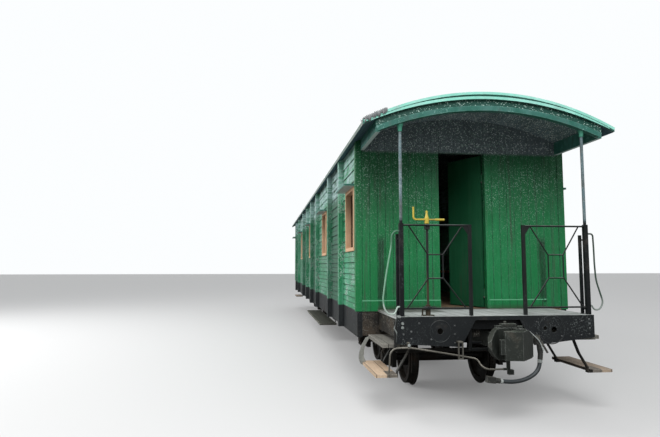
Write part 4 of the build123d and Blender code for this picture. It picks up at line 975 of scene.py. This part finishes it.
# Painted shade: the footboards' tops are darkened.
colour = mix(times(long_boards, 0.7), colour, (58, 64, 54))
grey = times(pale, band(y, *GREY_TREAD_Y), band(away(place, 0), *GREY_TREAD_X))
colour = mix(times(grey, 0.85), colour, (74, 76, 74))
right = times(hand_of(place), pale, scaled(noise(place, 11.0), 0.7, 0.2))
colour = mix(right, colour, (112, 106, 100))
# Painted shade: faces that look in under the coach are darkened nearly to black.
inward = times(calc("SIGN", axis_of(place, 0)), axis_of(normal_of(place), 0))
colour = mix(times(band(inward, -0.5, -0.9), 0.85), colour, (26, 25, 23))
corners = use(edges, place, Radius=0.012)["Mask"]
colour = mix(times(corners, scaled(long_boards, 0.4, 0.5)), colour, (214, 208, 196))
finish(colour, lower, 0.003, 0.003)
dress(tread_wood, "step_treads")

# Columns. Steel tubes that carry the canopy from the platform's corners. They are black posts
# below the railing's top, light grey above it, and green at their capitals.
GREY_TUBE_Z = (2.1, 2.16)
CAPITAL_Z = (3.09, 3.1)
column_paint, place = material("column_paint", gloss=0.12)
z = axis_of(place, 2)
lower = use(
    steel, place, Paint=(12, 15, 18), Scuff=(76, 84, 88), Rust=(48, 42, 38), Dust=(130, 132, 128),
    Scuffs=0.4, Rusting=0.2, Dusting=0.25)
upper = use(
    steel, place, Paint=(92, 112, 118), Scuff=(170, 184, 186), Rust=(72, 78, 76),
    Dust=(160, 166, 164), Scuffs=0.8, Rusting=0.6, Dusting=0.2)
tube = band(z, *GREY_TUBE_Z)
colour = mix(tube, lower["Color"], upper["Color"])
capital = band(z, *CAPITAL_Z)
colour = mix(capital, colour, (66, 128, 108))
finish(colour, lower, 0.0015, 0.003)
dress(column_paint, "columns")

# Handbrake cranks and grab rods. The cranks are yellow, on a ratchet wheel with its pawl, and
# the rods are bare steel with the last of a pale green paint.


def bar(low, high, chamfer=0.002):
    """A straight block between two corners, as four rings of four points with small chamfers."""
    low, high = np.minimum(low, high), np.maximum(low, high)
    middle = (low + high) / 2
    half = (high - low) / 2
    corners = np.array([(-1, -1), (1, -1), (1, 1), (-1, 1)])
    rings = []
    for inset, z in (
        (chamfer, low[2]), (0, low[2] + chamfer), (0, high[2] - chamfer), (chamfer, high[2])
    ):
        flat = middle[:2] + corners * (half[:2] - inset)
        rings.append(np.column_stack([flat, np.full(4, z)]))
    return np.array(rings)[None]


BRAKE_X = -0.733
BRAKE_Y = -7.760
RATCHET_RADII = (0.052, 0.041)
RATCHET_Z = (TREAD_Z + 1.146, TREAD_Z + 1.160)
TEETH = 16  # the rim's radius goes from the one to the other between teeth
yellow = coated(
    "crank_paint", steel, 0.0012, 0.003, Paint=(188, 166, 52), Scuff=(110, 98, 50),
    Rust=(92, 66, 38), Dust=(170, 164, 130), Scuffs=0.35, Rusting=0.3, Dusting=0.3)
dress(yellow, "brake_cranks")
tooth_turn = np.arange(2 * TEETH) * pi / TEETH
tooth_radius = np.tile(RATCHET_RADII, TEETH)
ratchet_x = BRAKE_X + tooth_radius * np.cos(tooth_turn)
ratchet_y = BRAKE_Y + tooth_radius * np.sin(tooth_turn)
ratchet = np.stack([
    np.column_stack([ratchet_x, ratchet_y, np.full(2 * TEETH, z)]) for z in RATCHET_Z])[None]
pawl = bar(
    (BRAKE_X + 0.040, BRAKE_Y + 0.006, TREAD_Z + 1.148),
    (BRAKE_X + 0.096, BRAKE_Y + 0.022, TREAD_Z + 1.158))
crank_nut = facing(
    turned([(0.013, 0), (0.013, 0.016), (0.009, 0.024), (0.004, 0.028)], 6),
    [(BRAKE_X, BRAKE_Y, TREAD_Z + 2.178)], (0, 0, 1))
at_both_ends("brake_ratchets", black, "brake_shafts", ratchet, pawl)
at_both_ends("crank_nuts", yellow, "brake_cranks", crank_nut)
ROD_GREEN_Z = (1.9, 2.1)
ROD_PALE_Z = (1.42, 1.3)
rod_steel, place = material("grab_rod_steel")
old = use(
    steel, place, Paint=(104, 150, 124), Scuff=(150, 186, 166), Rust=(84, 96, 76),
    Dust=(160, 186, 170), Scuffs=0.6, Rusting=0.3, Dusting=0.2)
height = calc("ADD", axis_of(place, 2), times(noise(place, 9.0), 0.3))
colour = mix(times(band(height, *ROD_GREEN_Z), 0.8), old["Color"], (40, 92, 66))
right = hand_of(place)
colour = mix(times(right, 0.85), colour, (26, 32, 30))
pale = times(band(height, *ROD_PALE_Z), scaled(right, -0.3, 0.7))
colour = mix(pale, colour, (184, 192, 188))
finish(colour, old, 0.001)
dress(rod_steel, "grab_rods")

# Uncoupling rods and hinge pins. Round steel bars bent to shape and held in keepers, polished by
# hands and brown in the corners.
bare_steel = coated(
    "bare_steel", steel, 0.001, gloss=0.3, metal=0.15, Paint=(78, 76, 70), Scuff=(150, 146, 138),
    Rust=(60, 52, 44), Dust=(176, 172, 160), Scuffs=0.5, Rusting=0.4, Dusting=0.45)
dress(bare_steel, "uncoupling_rods", "hinge_pintles")

# Couplers. Rough cast iron heads with a knuckle that swings on its pin, dark brown-grey and
# rubbed bright along their edges.
cast = coated(
    "cast_iron", steel, 0.003, 0.008, edge=(0.012, 0.65, (136, 140, 136)), gloss=0.2,
    Paint=(33, 37, 34), Scuff=(84, 88, 84), Rust=(56, 52, 44), Dust=(112, 112, 104), Scuffs=0.5,
    Rusting=0.35, Dusting=0.3)
dress(cast, "coupler_heads", "knuckle_near", "knuckle_far")

# Benches. Slats of varnished wood, screwed to plain legs. They run along both sides of the
# saloon, and show only through the doorway and the windows.
bench_wood, place = material("bench_wood")
old = use(
    planks, place, Light=(150, 106, 66), Dark=(92, 60, 36), Seam=(30, 22, 16), Grain=(50, 4, 50),
    Across=axis_of(place, 0), Width=0.06, Contrast=1.0)
finish(old["Color"], old, 0.003, 0.003)
dress(bench_wood, "benches")

# Bogies. Frames, axle boxes and leaf springs of riveted and cast iron, oily black under brown
# brake dust, with their edges rubbed pale. The black is kept very dark, partly as painted shade
# under the coach.
bogie_iron = coated(
    "bogie_iron", steel, 0.002, 0.003, edge=(0.006, 0.4, (120, 108, 96)), gloss=0.12,
    Paint=(26, 26, 25), Scuff=(62, 60, 56), Rust=(56, 44, 36), Dust=(84, 76, 66), Scuffs=0.2,
    Rusting=0.5, Dusting=0.4)
bogie_parts = ("bogie_frame", "axle_boxes", "leaf_springs")
dress(bogie_iron, *[f"{part}_{end_name}" for part in bogie_parts for end_name, hand in ENDS])

# Wheelsets. Two cast wheels pressed on each axle, brown with rust and brake dust. They are
# painted darker than the frames around them, partly as painted shade under the coach.
wheel_iron = coated(
    "wheel_iron", steel, 0.002, gloss=0.15, Paint=(24, 23, 22), Scuff=(56, 52, 48),
    Rust=(44, 37, 32), Dust=(70, 64, 56), Scuffs=0.3, Rusting=0.5, Dusting=0.2)
dress(wheel_iron, *[f"wheelset_{number}" for number in range(1, 5)])

# Brake blocks. A cast block hangs from the bogie's end bar at the outer side of each wheel,
# 8 mm clear of the tread, on a flat steel hanger. It is an arc between two radii round the
# axle: y = middle + r cos a, z = axle + r sin a.
BOGIE_Y = 5.2
AXLE_REACH = 0.9
AXLE_Z = 0.388
BLOCK_RADIUS = 0.368
BLOCK_THICK = 0.036
BLOCK_SWING = 24
BLOCK_X = (0.5, 0.575)
HANGER_X = (0.525, 0.550)
HANGER_Z = (0.33, 0.545)
HANGER_REACH = (0.404, 0.418)
swing = np.radians(np.linspace(-BLOCK_SWING, BLOCK_SWING, 17))
arc_y, arc_z = BLOCK_RADIUS * np.cos(swing), BLOCK_RADIUS * np.sin(swing)
wider = (BLOCK_RADIUS + BLOCK_THICK) / BLOCK_RADIUS
for end_name, hand in ENDS:
    stacks = []
    for outward, side in ((-1, -1), (-1, 1), (1, -1), (1, 1)):
        middle_y = outward * AXLE_REACH - hand * BOGIE_Y
        corners = [(1, BLOCK_X[0]), (1, BLOCK_X[1]), (wider, BLOCK_X[1]), (wider, BLOCK_X[0])]
        rings = [
            np.column_stack([
                np.full(17, side * x), middle_y + outward * grow * arc_y, AXLE_Z + grow * arc_z])
            for grow, x in corners]
        block = np.stack(rings, axis=1)[None]
        stacks.append(block[:, :, ::-1] if side * outward > 0 else block)
        low, high = [
            (side * x, middle_y + outward * reach, z)
            for x, reach, z in zip(HANGER_X, HANGER_REACH, HANGER_Z)]
        stacks.append(bar(low, high))
    name = f"brake_blocks_{end_name}"
    show(name, skin(name, *stacks), bogie_iron, f"bogie_{end_name}")

# Axle box bolts. Four forged hexagon heads hold the lid of each axle box, under the same oil and
# dust as the box.
LID_X = 0.875
LID_Y = 0.078
LID_Z = 0.083
for end_name, hand in ENDS:
    stacks = []
    for side in (-1, 1):
        lids = [
            (side * LID_X, axle * AXLE_REACH - hand * BOGIE_Y + y, AXLE_Z + z)
            for axle in (-1, 1) for y in (-LID_Y, LID_Y) for z in (-LID_Z, LID_Z)]
        stacks.append(facing(HEX_HEAD, lids, (side, 0, 0)))
    name = f"axle_box_bolts_{end_name}"
    show(name, skin(name, *stacks), bogie_iron, f"bogie_{end_name}")

# Size. The box of the solids and the box of the dressed coach.
size = {"cad": [list(cad_low), list(cad_high)], "visual": [list(part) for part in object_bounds()]}
